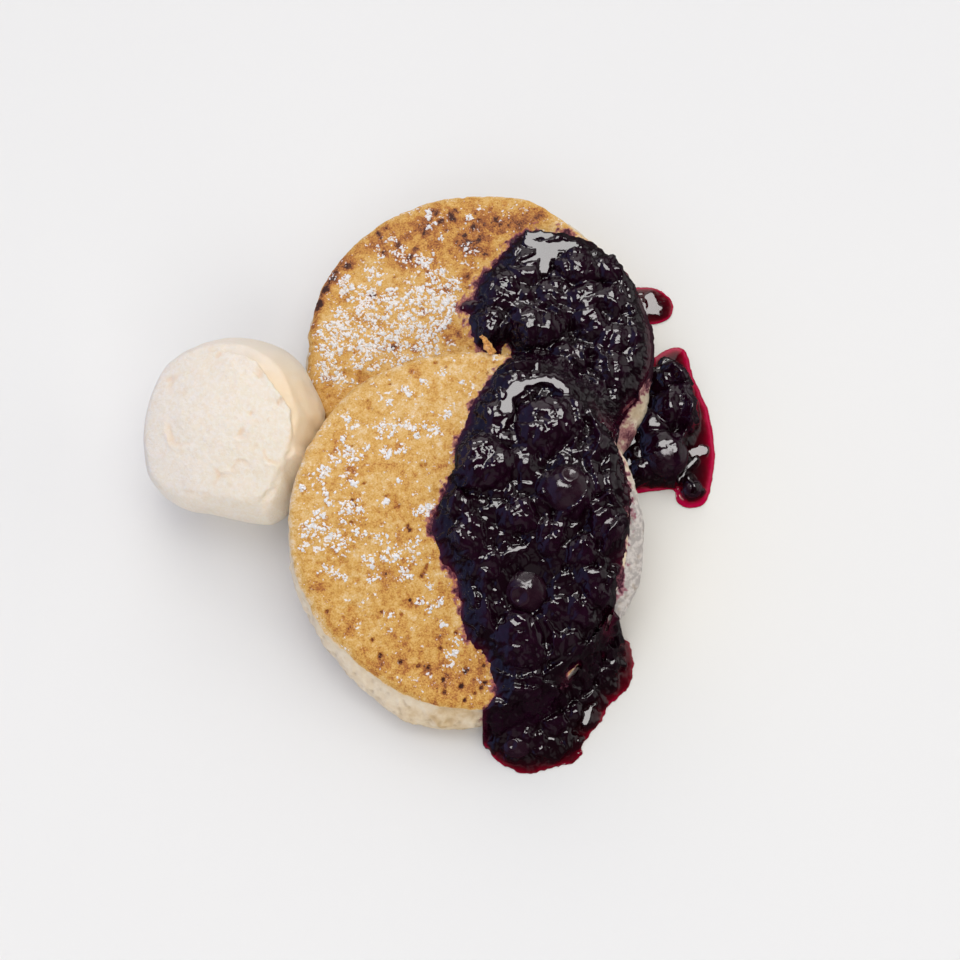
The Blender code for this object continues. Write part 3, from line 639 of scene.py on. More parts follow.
# Level of a crumpet's side, seen from above, by the share of its top edge's inset.
SIDE_LEVELS = ((0.0, 7.6), (0.16, 10.0), (0.5, 11.9), (0.8, 13.6), (0.98, 15.6), (1.0, FACE_EDGE_LEVEL))
OVERHANG, OVERHANG_FALL = 1.3, 5.0       # how far out over nothing the sauce may hang, mm; its slope there
BANK_REACH, CURTAIN_REACH = 11.0, 5.8    # how far out the sauce slopes down off a crumpet, mm
BANK_RAGGED = 1.6                        # unevenness of the bank's reach, mm
BANK_INSIDE = 2.0                        # the bank starts this far inside the front crumpet's outline
BANK_BELOW = 1.6                         # and this far below its top
SPILL_FROM_Y, SPILL_BLEND = -71.0, 5.0   # nearer than this the sauce spills onto the table
SPILL_FADES = (37.0, 44.0)               # the bank drops away between these x values
LOW_BANK = 0.12                          # share of the bank's height that is left there


def cake_level(cake, x, y):
    """Height of a crumpet seen from above, and the inset from its outline; low beyond it."""
    inset = cake.inset(x, y)
    edge = np.maximum(cake.edge_inset(np.arctan2(y - cake.at[1], x - cake.at[0])), EDGE_LEAST)
    shares, levels = np.array(SIDE_LEVELS).T
    side = np.interp(inset / edge, shares, levels) + OVERHANG_FALL * np.minimum(inset, 0)
    inward = inset - edge
    top = FACE_EDGE_LEVEL + (THICKNESS - FACE_EDGE_LEVEL) * shoulder(inward) + cake.swell(x, y)
    level = np.where(inward > 0, top, side) + cake.raised(y)
    return np.where(inset > -OVERHANG, level, 0.0), inset


def sauce_ground(x, y, kind="compote"):
    """Height that the sauce drapes over, and of what is really under it: crumpets or table."""
    if kind != "compote":
        return np.zeros_like(x), np.zeros_like(x)
    (on_front, front), (on_back, back) = cake_level(FRONT, x, y), cake_level(BACK, x, y)
    ground = np.maximum(np.maximum(on_front, on_back), 0.0)
    rim = leaning_lie(y) + THICKNESS - BANK_BELOW
    away = np.maximum(BANK_INSIDE - front, 0.0)
    ragged = np.maximum(away + BANK_RAGGED * plan_fbm(x, y, 3.4, 2, 37) * smooth(away / 2.0), 0.0)
    low, high = SPILL_FADES
    spilled = smooth((SPILL_FROM_Y - y) / SPILL_BLEND)
    spilled = spilled * (1.0 - (1.0 - LOW_BANK) * smooth((x - low) / (high - low)))
    curtain = (0.76 * smooth(1.0 - ragged / CURTAIN_REACH)
               + 0.24 * smooth(1.0 - ragged / (1.3 * BANK_REACH)))
    between = on_back + (rim - on_back) * smooth(1.0 - away / BANK_REACH)
    bank = np.where(back > 0.3, between, rim * spilled * curtain)
    return np.where(front > BANK_INSIDE, ground, np.maximum(ground, bank)), ground


# Berries and lumps under the sauce: x, y, radius, rise over the sauce round them, how crinkled
# the skin over them is (0 smooth to 1).
HUMPS_BACK = ((16.1, 5.4, 7.4, 4.6, 1.0), (28.1, 24.4, 6.4, 3.6, 1.0), (37.4, -7.6, 5.6, 2.6, 0.8),
              (5.8, 18.3, 6.2, 2.8, 1.0), (13.6, 24.5, 5.6, 2.6, 0.8), (11, 14.0, 4.6, 1.6, 0.8),
              (30.3, 15.0, 5.4, 3.2, 1.0), (21.5, 16.5, 5.0, 2.0, 0.3), (2.5, 7.0, 5.4, 1.8, 0.6),
              (31.6, 7.3, 5.8, 3.4, 0.9), (38.5, 14.0, 4.8, 2.4, 0.6), (37.9, 1.5, 5.0, 2.6, 0.8),
              (43.4, 2.7, 3.6, 1.4, 0.5), (26.4, -3.5, 5.6, 2.6, 0.2), (36.6, 24.0, 4.6, 1.8, 0.3),
              (42.3, 17.0, 3.4, 1.2, 0.3), (45.0, -4.0, 3.0, 1.0, 0.5), (44.0, -11.0, 3.2, 1.2, 0.5),
              (21.8, 32.5, 4.4, 0.8, 0.5), (24.0, 9.0, 4.2, 1.6, 0.6))
HUMPS_STEP = ((21.5, -9.5, 6.4, 1.6, 0.1), (12, -8, 5.2, 1.2, 0.2), (31, -16, 6.0, 1.8, 0.2),
              (8.5, -16.5, 5.6, 1.4, 0.3))
HUMPS_FRONT = ((18.9, -31.7, 9.6, 6.4, 0.12), (0.6, -43.3, 8.6, 5.0, 0.7), (24.0, -50.4, 7.6, 4.6, 0.25),
               (35.6, -59.9, 5.8, 3.0, 0.7), (11.0, -89.4, 7.6, 4.6, 0.9), (11.5, -41.5, 5.6, 2.4, 0.5),
               (32.5, -37.5, 5.0, 2.4, 0.3), (10.8, -57.5, 5.8, 3.2, 1.0), (4.5, -27.8, 5.2, 2.0, 0.6),
               (-6.5, -54.5, 4.6, 1.8, 1.0), (-2.8, -63.0, 5.8, 2.6, 1.0), (19.6, -62.6, 5.2, 2.8, 1.0),
               (28.2, -67.0, 4.8, 2.2, 0.9), (1.6, -70.5, 5.0, 1.8, 1.0), (33.0, -75.5, 5.4, 2.6, 0.9),
               (27.0, -82.5, 4.8, 2.0, 0.4), (0.4, -81.5, 5.2, 1.6, 0.1), (24.2, -91.5, 6.2, 2.4, 0.4),
               (13.0, -99.3, 5.2, 1.2, 0.2), (20.6, -81.2, 3.8, 1.6, 0.8), (6.0, -97.0, 4.2, 0.9, 0.3),
               (22.0, -19.0, 5.0, 1.0, 0.2), (35.0, -49.0, 4.4, 1.6, 0.4), (4.5, -35.5, 4.4, 1.4, 0.4))
HUMPS_SPILL = ((11.2, -109.6, 4.8, 2.8, 0.8), (21.2, -107.4, 4.2, 2.6, 0.8), (30.0, -98.8, 3.8, 2.2, 0.9),
               (35.2, -94.2, 3.6, 1.8, 0.9), (38.2, -88.4, 3.2, 1.4, 0.9), (16.2, -113.4, 3.8, 1.8, 0.9),
               (4.8, -107.0, 3.4, 1.8, 0.8), (4.8, -112.0, 3.0, 1.6, 0.8), (10.2, -115.8, 3.0, 1.2, 0.8),
               (26.0, -111.4, 3.4, 1.6, 0.9), (30.8, -105.0, 3.4, 1.6, 0.8), (25.8, -102.8, 3.4, 1.8, 0.8),
               (20.8, -114.4, 3.0, 1.2, 0.9), (34.0, -100.2, 2.8, 1.2, 0.8), (15.6, -104.6, 3.2, 1.6, 0.6))
HUMPS_RIGHT = ((56.4, -2.4, 4.6, 2.8, 0.2), (57.3, -12.4, 6.8, 5.6, 0.8), (54.0, -27.2, 7.6, 6.4, 0.5),
               (60.5, -9.0, 3.6, 2.4, 0.05), (60.8, -17.0, 3.0, 2.0, 0.05), (61.6, -36.4, 3.2, 3.4, 0.6),
               (60.4, -33.6, 2.6, 2.6, 0.4), (47.6, -31.0, 4.0, 3.0, 0.2), (50.4, -18.4, 5.0, 3.6, 0.4))
HUMP_RISE, HUMP_FOLLOWS = 0.85, 0.7    # of the listed rise; share of the slope under a hump it keeps
HUMP_FOOT, HUMP_FALL = 2.0, 8.0      # how deep a hump's foot lies, mm; how fast it falls beyond
ROUND_POWER, FLAT_POWER = 2.4, 1.6   # profile of a smooth hump; what crinkling adds to it
FOLDS, FOLD_CELL = 0.34, 1.9     # wrinkles of the skin over berries, mm
PUCKERS, PUCKER_CELL = 0.17, 0.9


def soft_max(a, b, reach):
    """The greater of two heights, with a fillet where they're closer than reach."""
    gap = np.maximum(reach - np.abs(a - b), 0.0)
    return np.maximum(a, b) + gap * gap / (4 * reach)


def nearest_value(x, y, values, px, py):
    return values[np.argmin((x - px) ** 2 + (y - py) ** 2)]


def add_humps(x, y, surface, humps, fillet=1.6):
    """Raises the sauce over berries and lumps; also returns how crinkled each place is."""
    crinkle, before = np.zeros_like(x), surface.copy()
    wx = x + 0.7 * plan_noise(x, y, 3.1, 55)
    wy = y + 0.7 * plan_noise(x, y, 3.1, 56)
    for number, (hx, hy, radius, rise, rough) in enumerate(humps):
        turn = np.arctan2(wy - hy, wx - hx)
        uneven = 1 + 0.09 * np.cos(2 * turn + number) + 0.06 * np.cos(3 * turn + 2.3 * number)
        away = np.hypot(wx - hx, wy - hy) / (radius * uneven)
        rise = HUMP_RISE * rise
        centre = nearest_value(x, y, before, hx, hy)
        lie = centre + HUMP_FOLLOWS * (before - centre)
        side = np.sqrt(np.clip(1 - away ** (ROUND_POWER + FLAT_POWER * rough), 0, None))
        depth = rise + HUMP_FOOT
        dome = lie + rise - depth * (1 - side) - HUMP_FALL * np.clip(away - 1, 0, None)
        surface = np.where(away < 1.5, soft_max(surface, dome, fillet), surface)
        crinkle = np.maximum(crinkle, rough * smooth(1.3 - away * 1.1))
    return surface, crinkle


def spots_mask(x, y, spots, soft):
    """1 inside round spots or capsules (x0, y0, x1, y1, radius), fading over soft."""
    mask = np.zeros_like(x)
    for x0, y0, x1, y1, radius in spots:
        away = np.hypot(*off_segment(x, y, x0, y0, x1, y1))
        mask = np.maximum(mask, smooth((radius - away) / soft + 0.5))
    return mask


# Still, level liquid that mirrors the light: capsules (x0, y0, x1, y1, radius), lift over the
# sauce round them.
STILL = {
    "compote": (
        (((19.4, 30.2, 18.4, 23.6, 1.8), (19.0, 30.8, 14.0, 32.2, 1.7), (14.0, 34.4, 20.6, 34.6, 1.3),
          (19.6, 30.6, 26.8, 31.4, 1.6), (16.8, 27.4, 12.8, 25.8, 1.0), (18.0, 29.4, 20.8, 28.8, 2.2)), 0.5),
        (((7.0, -27.4, 8.0, -23.4, 2.1), (8.0, -23.4, 11.0, -20.8, 1.9), (11.0, -20.4, 14.6, -19.4, 1.4),
          (14.6, -19.4, 18.6, -18.9, 1.3), (20.0, -19.2, 24.0, -21.8, 1.3)), 1.0),
        (((7.0, -31.2, 6.6, -33.2, 1.0), (5.6, -21.9, 6.4, -23.7, 0.9)), 0.6),
        (((6.6, -68.5, 9.4, -67.0, 0.6), (9.4, -67.0, 12.4, -65.9, 1.0)), 0.6),
        (((29.6, -107.0, 30.4, -103.4, 1.2), (30.6, -103.0, 32.4, -101.2, 0.8)), 0.4),
        (((37.0, -90.7, 38.0, -90.4, 0.8), (34.6, -89.2, 34.8, -89.6, 0.7)), 0.3)),
    "right": (
        (((62.2, -24.4, 65.2, -23.8, 1.7),), 0.0),
        (((62.6, -27.6, 59.6, -30.4, 0.8), (59.6, -30.4, 57.6, -34.0, 0.9)), 0.1)),
    "drop": (
        (((50.4, 25.2, 51.2, 20.6, 1.6),), 0.0),)}
# Smooth rolls of thick syrup: corners (x, y), half width, rise.
STRANDS = {
    "compote": (
        (((30.8, -27.5), (32.5, -31.8), (33.6, -35.6), (32.4, -40.1), (30.7, -42.7), (31.3, -46.5),
          (31.9, -50.1), (30.4, -52.8), (27.2, -56.2), (22.6, -57.6)), 1.3, 1.7),
        (((21.0, -20.8), (25.7, -24.2), (28.3, -28.8), (28.4, -33.3), (26.2, -37.6)), 1.0, 1.2),
        (((31.0, -55.4), (33.6, -53.4), (36.4, -53.0), (39.0, -54.8), (39.8, -57.6), (38.9, -60.0),
          (36.7, -61.8), (35.2, -63.6), (34.6, -66.0)), 1.0, 1.5),
        (((37.6, -70.5), (36.4, -73.3), (36.0, -77.2), (34.2, -80.2), (34.2, -83.6), (31.4, -86.8),
          (30.8, -90.0), (28.0, -92.0), (24.6, -95.6), (20.1, -97.0), (13.8, -100.4)), 0.95, 1.2),
        (((0.6, -98.6), (3.8, -101.1), (8.0, -103.3), (13.5, -102.9), (19.1, -103.9), (23.3, -101.4)),
          0.95, 1.2),
        (((1.4, -94.6), (6.0, -99.0), (12.0, -100.2), (19.0, -100.0)), 0.7, 0.8),
        (((-2.0, -18.2), (3.6, -14.7), (9.2, -13.6), (15.2, -12.9), (22.2, -13.0), (28.0, -16.8)), 1.2, 1.2),
        (((5.6, -12.2), (11.2, -10.6), (17.2, -10.4), (23.2, -8.6)), 0.9, 0.9),
        (((26.6, -5.4), (30.1, -8.4), (33.7, -12.4), (36.8, -10.4), (36.8, -5.1), (33.1, -1.2), (28.1, 0.4)),
          0.9, 1.1),
        (((30.4, -1.0), (29.4, -6.0), (32.4, -9.4)), 0.7, 0.7),
        (((37.8, 29.1), (41.3, 25.6), (43.5, 19.6), (44.4, 11.7), (45.4, 5.5), (45.6, -1.0)), 1.4, 1.2),
        (((6.8, 3.2), (9.0, 8.6), (14.0, 12.2), (19.8, 12.8), (23.4, 10.1)), 1.0, 1.0),
        (((-6.8, -52.0), (-8.0, -58.0), (-6.4, -63.4), (-2.0, -67.6)), 1.2, 0.8),
        (((1.6, -73.4), (1.4, -79.4), (3.0, -86.0), (4.4, -92.4)), 1.1, 0.9),
        (((17.4, -84.0), (20.4, -88.4), (20.0, -93.4), (15.2, -96.6)), 1.0, 1.1)),
    "right": (
        (((57.8, 0.0), (60.0, -3.4), (61.2, -7.4), (61.8, -12.7), (61.6, -17.3), (60.0, -21.0)), 1.8, 2.4),
        (((60.2, -33.4), (62.0, -35.2), (62.4, -37.6)), 1.2, 1.0)),
    "drop": ()}
HUMPS = {"compote": HUMPS_BACK + HUMPS_STEP + HUMPS_FRONT + HUMPS_SPILL, "right": HUMPS_RIGHT, "drop": ()}
HOLLOWS = {"compote": ((12.7, -76.1, 8.0, 2.4),), "right": (), "drop": ()}   # x, y, radius, depth
# Smooth places, and thin ones: x, y, reach.
SLABS = ((35.6, -24.0, 5.0), (35.4, -31.0, 4.6), (36.6, -38.0, 4.4), (38.2, -45.0, 3.6))
THIN_PLACES = ((37.0, -26.5, 4.4), (40.6, -49.0, 3.4), (41.0, -62.0, 3.0), (32.0, -23.0, 2.6),
               (38.5, -36.0, 2.6), (10.5, 36.8, 2.4), (24.0, 37.6, 2.4), (-5.0, 13.8, 2.6))
PACKED, PACKED_CELL = 3.1, 6.2       # berries packed side by side under the skin, mm
PEBBLES, PEBBLE_CELL = 1.7, 2.9      # smaller lumps between them, mm
MEAN_DOME = 0.66             # average height of packed domes, as a share
DEPTH_ON_CAKE, DEPTH_ON_TABLE, DEPTH_OF_SPILL = 3.7, 0.9, 3.0   # of the sauce, mm
POOL_MASS = ((49.0, 3.0), (51.4, 1.8), (54.1, 4.9), (58.2, 3.7), (61.1, 0.5), (62.4, -5.8),
             (63.2, -12.1), (62.7, -17.7), (60.6, -20.9), (59.4, -25.5), (59.2, -30.2), (56.8, -34.5),
             (52.8, -35.4), (47.8, -35.1), (41, -36), (38, -28), (40, -16), (43, -4))
MASS_DEPTH = 3.4             # of the thick sauce in the right pool, mm
RIPPLES = {"compote": 0.22, "right": 0.04, "drop": 0.22}     # of the smooth syrup, mm
RIPPLE_CELL = 1.6            # mm
# The thin syrup's border on the spill, mm: its width, what its right adds, and where that is.
FILM_BORDER, SPILL_FILM = 1.0, 1.9
WIDE_FILM_X, WIDE_FILM_Y = 22.0, -84.0
CRINKLED_SPILL_Y = -94.0     # nearer than this the spill is crinkled
STEEP_LUMPS = 1.0            # relief of the steep parts of the sauce, mm
DARKER = {"compote": 0.3, "right": -0.3, "drop": 0.0}   # added to the sauce's depth when it is coloured
FILMS = {"compote": (0.22, 1.3), "right": (0.34, 4.0), "drop": (0.5, 1.3)}   # deepening inwards, most depth


def packed(x, y, cell, seed):
    """Domes packed side by side with creases between them, 0 to 1."""
    away = bubbles(flat3(x, y, 0.37 * cell) / cell, seed) / 0.95
    return np.sqrt(np.clip(1 - away ** 2.6, 0, 1))


def strand_share(x, y, corners, half_width):
    """1 along a wandering line, 0 at and beyond its half width, below 0 in the crease beside it."""
    away = np.full(len(x), 1e9)
    for (x0, y0), (x1, y1) in zip(corners[:-1], corners[1:]):
        away = np.minimum(away, np.hypot(*off_segment(x, y, x0, y0, x1, y1)))
    share = away / half_width
    return np.exp(-share ** 2) - 0.3 * np.exp(-((share - 2.0) / 0.7) ** 2)


def syrup_film(inset, kind):
    """Depth of the thin syrup by the distance in from its edge."""
    slope, most = FILMS[kind]
    return most * (1 - np.exp(-np.clip(inset, 0, None) * slope / most)) + 0.13 * smooth(inset / 0.7)


def sauce_bed(x, y, inset, kind, draped, on_cake, warp):
    """Height of the sauce before any named berry, strand or wrinkle."""
    film = syrup_film(inset, kind)
    if kind != "compote":
        mass = 0.0
        if kind == "right":
            mass = smooth((outline_inset(x, y, rounded_outline(POOL_MASS))[0] + 0.4) / 1.6)
        lumps = 1 + 0.5 * (packed(warp[:, 0], warp[:, 1], PEBBLE_CELL + 1.2, 69) - 0.6)
        return draped + film + MASS_DEPTH * mass * lumps * smooth((inset - 0.4) / 1.6)
    thin = blobs(x, y, THIN_PLACES)
    film_reach = FILM_BORDER + SPILL_FILM * smooth((x - WIDE_FILM_X) / 8) * smooth((WIDE_FILM_Y - y) / 4)
    spill = film + (DEPTH_OF_SPILL - DEPTH_ON_TABLE) * smooth((inset - film_reach) / 4.0)
    width = 5.4 + 2.4 * fbm(flat3(warp[:, 0], warp[:, 1]) / 5.5, 2, 39)
    share = np.clip(inset / width, 0, 1)
    roll = 0.6 * share + 0.4 * smooth(share)
    domes = PACKED * (packed(warp[:, 0], warp[:, 1], PACKED_CELL, 61) - MEAN_DOME)
    domes = domes + PEBBLES * (packed(warp[:, 0] + 3, warp[:, 1] - 5, PEBBLE_CELL, 67) - MEAN_DOME)
    domes = domes * (1 - 0.8 * blobs(x, y, SLABS))
    swirl = 0.5 * fbm(warp / 5.0, 2, 35)
    deep = (DEPTH_ON_CAKE + domes + swirl) * (1 - 0.72 * thin) * roll
    low = spill + 0.8 * domes * smooth((inset - 0.5 - film_reach) / 3)
    return draped + on_cake * deep + (1 - on_cake) * np.maximum(low, 0.3 * film)


def level_places(x, y, surface, places):
    """Flattens the still liquid's places at the sauce's own height there."""
    still = np.zeros_like(x)
    wander = 0.55 * plan_fbm(x, y, 1.5, 2, 51), 0.55 * plan_fbm(x, y, 1.5, 2, 53)
    for spots, lift in places:
        mask = spots_mask(x + wander[0], y + wander[1], spots, 0.7)
        if mask.max() > 0.5:
            level = np.median(surface[mask > 0.5]) + lift
            surface = surface * (1 - mask) + level * mask
            still = np.maximum(still, mask)
    return surface, still


def sauce_surface(x, y, inset, kind):
    """Height of the sauce, of the ground below it, and how crinkled it is."""
    draped, ground = sauce_ground(x, y, kind)
    on_cake = smooth((draped - 1.0) / 6.0)
    drift = plan_fbm(x, y, 6.0, 2, 31), plan_fbm(x, y, 6.0, 2, 33)
    warp = flat3(x + 1.6 * drift[0], y + 1.6 * drift[1])
    surface = sauce_bed(x, y, inset, kind, draped, on_cake, warp)
    surface, crinkle = add_humps(x, y, surface, HUMPS[kind])
    for hx, hy, radius, depth in HOLLOWS[kind]:
        surface = surface - depth * smooth(1.6 - 1.5 * np.hypot(x - hx, y - hy) / radius)
    if kind == "compote":
        patches = smooth(0.6 + 1.6 * plan_fbm(x, y, 4.5, 2, 57)) * smooth((inset - 0.3) / 1.0)
        inland = smooth((inset - 2.6) / 1.5 - smooth((x - WIDE_FILM_X) / 8))
        spill = 0.9 * smooth((CRINKLED_SPILL_Y - y) / 6.0) * inland
        crinkle = np.maximum(crinkle, np.maximum(0.85 * patches * smooth((draped - 1) / 2), spill))
        crinkle = crinkle * (1 - 0.9 * blobs(x, y, SLABS))
    for corners, half_width, rise in STRANDS[kind]:
        share = strand_share(x + 0.5 * drift[1], y + 0.5 * drift[0], corners, half_width)
        surface = surface + rise * share * smooth(inset / 1.5)
        crinkle = crinkle * (1 - 0.85 * np.clip(share * 1.3, 0, 1))
    if kind != "compote":
        surface = np.maximum(surface, draped + syrup_film(inset, kind))
    surface, still = level_places(x, y, surface, STILL[kind])
    crinkle = crinkle * (1 - still)
    skin = flat3(x, y, surface * 0.7)
    skin = skin + 0.5 * flat3(noise(skin / 1.7, 47), noise(skin / 1.7, 48))
    folds = FOLDS * creased(skin / FOLD_CELL, 41) + PUCKERS * creased(skin / PUCKER_CELL, 43)
    ripple = RIPPLES[kind] * creased(warp / RIPPLE_CELL, 45)
    ripple = ripple * (1 - crinkle) * (1 - still) * smooth(inset - 1)
    surface = surface + (folds * crinkle + ripple) * smooth(inset / 0.9)
    close = smooth(inset / 0.9) ** 0.5
    surface = draped + (surface - draped) * close
    return surface, ground, draped, crinkle


def snapped_grid(outlines, cell):
    """Grid points inside the uneven outline, the outermost pulled onto it, and their quads."""
    corners = np.concatenate(outlines)
    low, high = corners.min(0) - 2.5, corners.max(0) + 2.5
    count = np.ceil((high - low) / cell).astype(int)
    gx, gy = np.meshgrid(low[0] + np.arange(count[0]) * cell, low[1] + np.arange(count[1]) * cell,
                         indexing="ij")
    x, y = gx.reshape(-1), gy.reshape(-1)
    inset, ux, uy = sauce_inset(x, y, outlines)
    keep = (inset > -0.6 * cell).reshape(gx.shape)
    full = keep[:-1, :-1] & keep[1:, :-1] & keep[1:, 1:] & keep[:-1, 1:]
    full = largest_patch(full)
    index = np.arange(x.size).reshape(gx.shape)
    quads = np.stack([index[:-1, :-1][full], index[1:, :-1][full], index[1:, 1:][full],
                      index[:-1, 1:][full]], 1)
    used = np.unique(quads)
    renumber = np.full(x.size, -1)
    renumber[used] = np.arange(len(used))
    x, y, inset, ux, uy = (a[used] for a in (x, y, inset, ux, uy))
    quads = renumber[quads]
    rim = np.zeros(len(used), bool)
    rim[np.unique(open_edges(quads))] = True
    pull = np.where(rim, np.clip(inset, -cell, 0.5 * cell), 0.0)
    return x - ux * pull, y - uy * pull, np.where(rim, 0.0, np.maximum(inset, 0)), quads


def largest_patch(full):
    """Keeps the largest connected patch of filled cells."""
    label = np.where(full, np.arange(1, full.size + 1).reshape(full.shape), 0)
    while True:
        spread = label.copy()
        for axis in (0, 1):
            for way in (1, -1):
                spread = np.maximum(spread, np.roll(label, way, axis))
        spread = np.where(full, spread, 0)
        if np.array_equal(spread, label):
            break
        label = spread
    names, sizes = np.unique(label[label > 0], return_counts=True)
    return label == names[np.argmax(sizes)]


def open_edges(quads):
    """Edges used by one quad only, in that quad's direction."""
    pairs = np.concatenate([quads[:, [k, (k + 1) % 4]] for k in range(4)])
    order = np.sort(pairs, 1)
    key = order[:, 0] * (pairs.max() + 1) + order[:, 1]
    names, first, counts = np.unique(key, return_index=True, return_counts=True)
    return pairs[first[counts == 1]]


def underside(x, y, inset, rim_pairs, every=7, within=1.8):
    """Coarse triangles that fill the rim, through every few of the points well within it."""
    rim = np.unique(rim_pairs)
    column, row = np.round(x / SAUCE_CELL).astype(int), np.round(y / SAUCE_CELL).astype(int)
    inner = np.where((inset > within) & (column % every == 0) & (row % every == 0))[0]
    inner = np.setdiff1d(inner, rim)
    source = np.concatenate([rim, inner])
    number = {int(v): n for n, v in enumerate(rim)}
    edges = [(number[int(a)], number[int(b)]) for a, b in rim_pairs]
    found = delaunay_2d_cdt([Vector((float(x[v]), float(y[v]))) for v in source], edges, [], 1, 1e-7)
    triangles = np.array([list(t) for t in found[2] if len(t) == 3])
    origin = np.array([o[0] if o else -1 for o in found[3]])
    triangles = origin[triangles]
    return source, triangles[(triangles >= 0).all(1)]


TABLE_GAP = 0.15             # lumps stay this high over the table where the sauce did, mm


def lump_steeps(points, quads, inset):
    """Pushes steep parts of the sauce in and out along their normals, above the table."""
    normals = normals_of(points, quads)
    steep = smooth((0.85 - normals[:, 2]) / 0.4) * smooth(inset / 1.2)
    push = STEEP_LUMPS * fbm(points / 2.7, 2, 75) + 0.35 * STEEP_LUMPS * fbm(points / 1.1, 2, 77)
    moved = points + normals * (push * steep)[:, None]
    moved[:, 2] = np.maximum(moved[:, 2], np.minimum(points[:, 2], TABLE_GAP))
    return moved


def make_sauce(name, node, corners, kind, material):
    """A closed body of sauce: detailed top, low wall and coarse underside."""
    outlines = [rounded_outline(c) for c in corners]
    x, y, inset, quads = snapped_grid(outlines, SAUCE_CELL)
    surface, ground, draped, crinkle = sauce_surface(x, y, inset, kind)
    floor = np.maximum(ground - SAUCE_SET, 0.0)
    rim_pairs = open_edges(quads)
    rim = np.unique(rim_pairs)
    surface[rim] = np.maximum(draped[rim] - 0.1, floor[rim] + SAUCE_LEAST)
    surface = np.maximum(surface, floor + SAUCE_LEAST)
    top = lump_steeps(flat3(x, y, surface), quads, inset)
    count = len(x)
    low_of = np.full(count, -1)
    low_of[rim] = count + np.arange(len(rim))
    wall = np.stack([rim_pairs[:, 1], rim_pairs[:, 0], low_of[rim_pairs[:, 0]], low_of[rim_pairs[:, 1]]], 1)
    source, triangles = underside(x, y, inset, rim_pairs)
    points = np.concatenate([top, flat3(x[source], y[source], floor[source])])
    triangles = count + triangles[:, ::-1]
    none = np.zeros(len(points) - count)
    fields = {
        "thick": np.concatenate([surface - draped + DARKER[kind], none]),
        "crinkle": np.concatenate([crinkle, none]),
        "table": np.concatenate([smooth((4.0 - draped) / 3.0), none]),
    }
    return make_piece(name, points, (quads, wall, triangles), material, (node,), fields)


# ---------------------------------------------------------------- berries
def ball(rows, columns):
    """Unit directions and quads of a closed ball, poles as small rings."""
    fall = np.pi * (np.arange(rows) + 0.5) / rows
    turn = 2 * np.pi * np.arange(columns) / columns
    f, t = np.meshgrid(fall, turn, indexing="ij")
    aims = np.stack([np.sin(f) * np.cos(t), np.sin(f) * np.sin(t), np.cos(f)], -1).reshape(-1, 3)
    index = np.arange(rows * columns).reshape(rows, columns)
    beside = np.roll(index, -1, 1)
    quads = np.stack([index[:-1], index[1:], beside[1:], beside[:-1]], -1).reshape(-1, 4)
    poles = np.array([[0, 0, 1.0], [0, 0, -1.0]])
    north, south = rows * columns, rows * columns + 1
    caps = np.concatenate([np.stack([np.full(columns, north), index[0], beside[0]], 1),
                           np.stack([np.full(columns, south), beside[-1], index[-1]], 1)])
    return np.concatenate([aims, poles]), quads, caps


# Whole berries: node number, radius, squash in height, top over the sauce's skin (negative:
# covered by it, so that only the sauce's own mound is seen), way the crown faces.
BERRIES = (
    (1, 7.0, 0.7, -2.5, (0.3, 0.2, 0.9)), (2, 6.4, 0.7, -2.0, (-0.5, 0.3, 0.7)),
    (3, 6.8, 0.8, 0.9, (0.15, 0.4, 0.9)), (4, 4.8, 0.85, 0.5, (0.3, 0.5, 0.8)),
    (5, 7.3, 0.9, 3.0, (-0.25, -0.45, 0.85)), (6, 5.0, 0.7, -2.0, (0.5, -0.6, 0.5)),
    (7, 6.0, 0.7, -2.0, (0.5, 0.5, 0.7)), (8, 5.0, 0.7, -2.0, (-0.5, 0.2, 0.8)),
    (9, 4.4, 0.7, -2.0, (0.6, -0.1, 0.7)), (10, 6.4, 0.8, 0.4, (-0.2, 0.5, 0.8)),
    (11, 5.4, 0.8, -1.5, (0.4, 0.4, 0.8)), (12, 3.0, 0.8, -1.0, (0.4, 0.2, 0.8)),
    (13, 4.4, 0.85, 0.4, (-0.3, -0.3, 0.9)), (14, 2.8, 0.8, -1.0, (0.2, 0.2, 0.9)))
BERRY_ROWS, BERRY_COLUMNS = 44, 72
CROWN = 0.34                 # radius of the crown's ring over the berry's


def berry_points(aims, radius, squash, crown, seed):
    """A ripe, slightly wrinkled berry with a ring-shaped crown."""
    crown = unit(np.array(crown))
    off_crown = np.arccos(np.clip(aims @ crown, -1, 1)) / CROWN
    ring = np.exp(-((off_crown - 1.0) / 0.28) ** 2)
    hollow = smooth(1.05 - off_crown)
    uneven = 0.035 * fbm(aims * 1.3 + seed, 2, seed)
    wrinkles = 0.05 * (ridges(aims * 2.6 + 0.3 * fbm(aims * 2, 2, seed)[:, None], 2, seed + 1) - 0.62)
    fine = 0.012 * (ridges(aims * 7.5, 2, seed + 2) - 0.6)
    reach = radius * (0.985 + uneven + wrinkles + fine + 0.05 * ring - 0.10 * hollow)
    return aims * reach[:, None] * np.array((1, 1, squash)), np.maximum(ring, hollow)


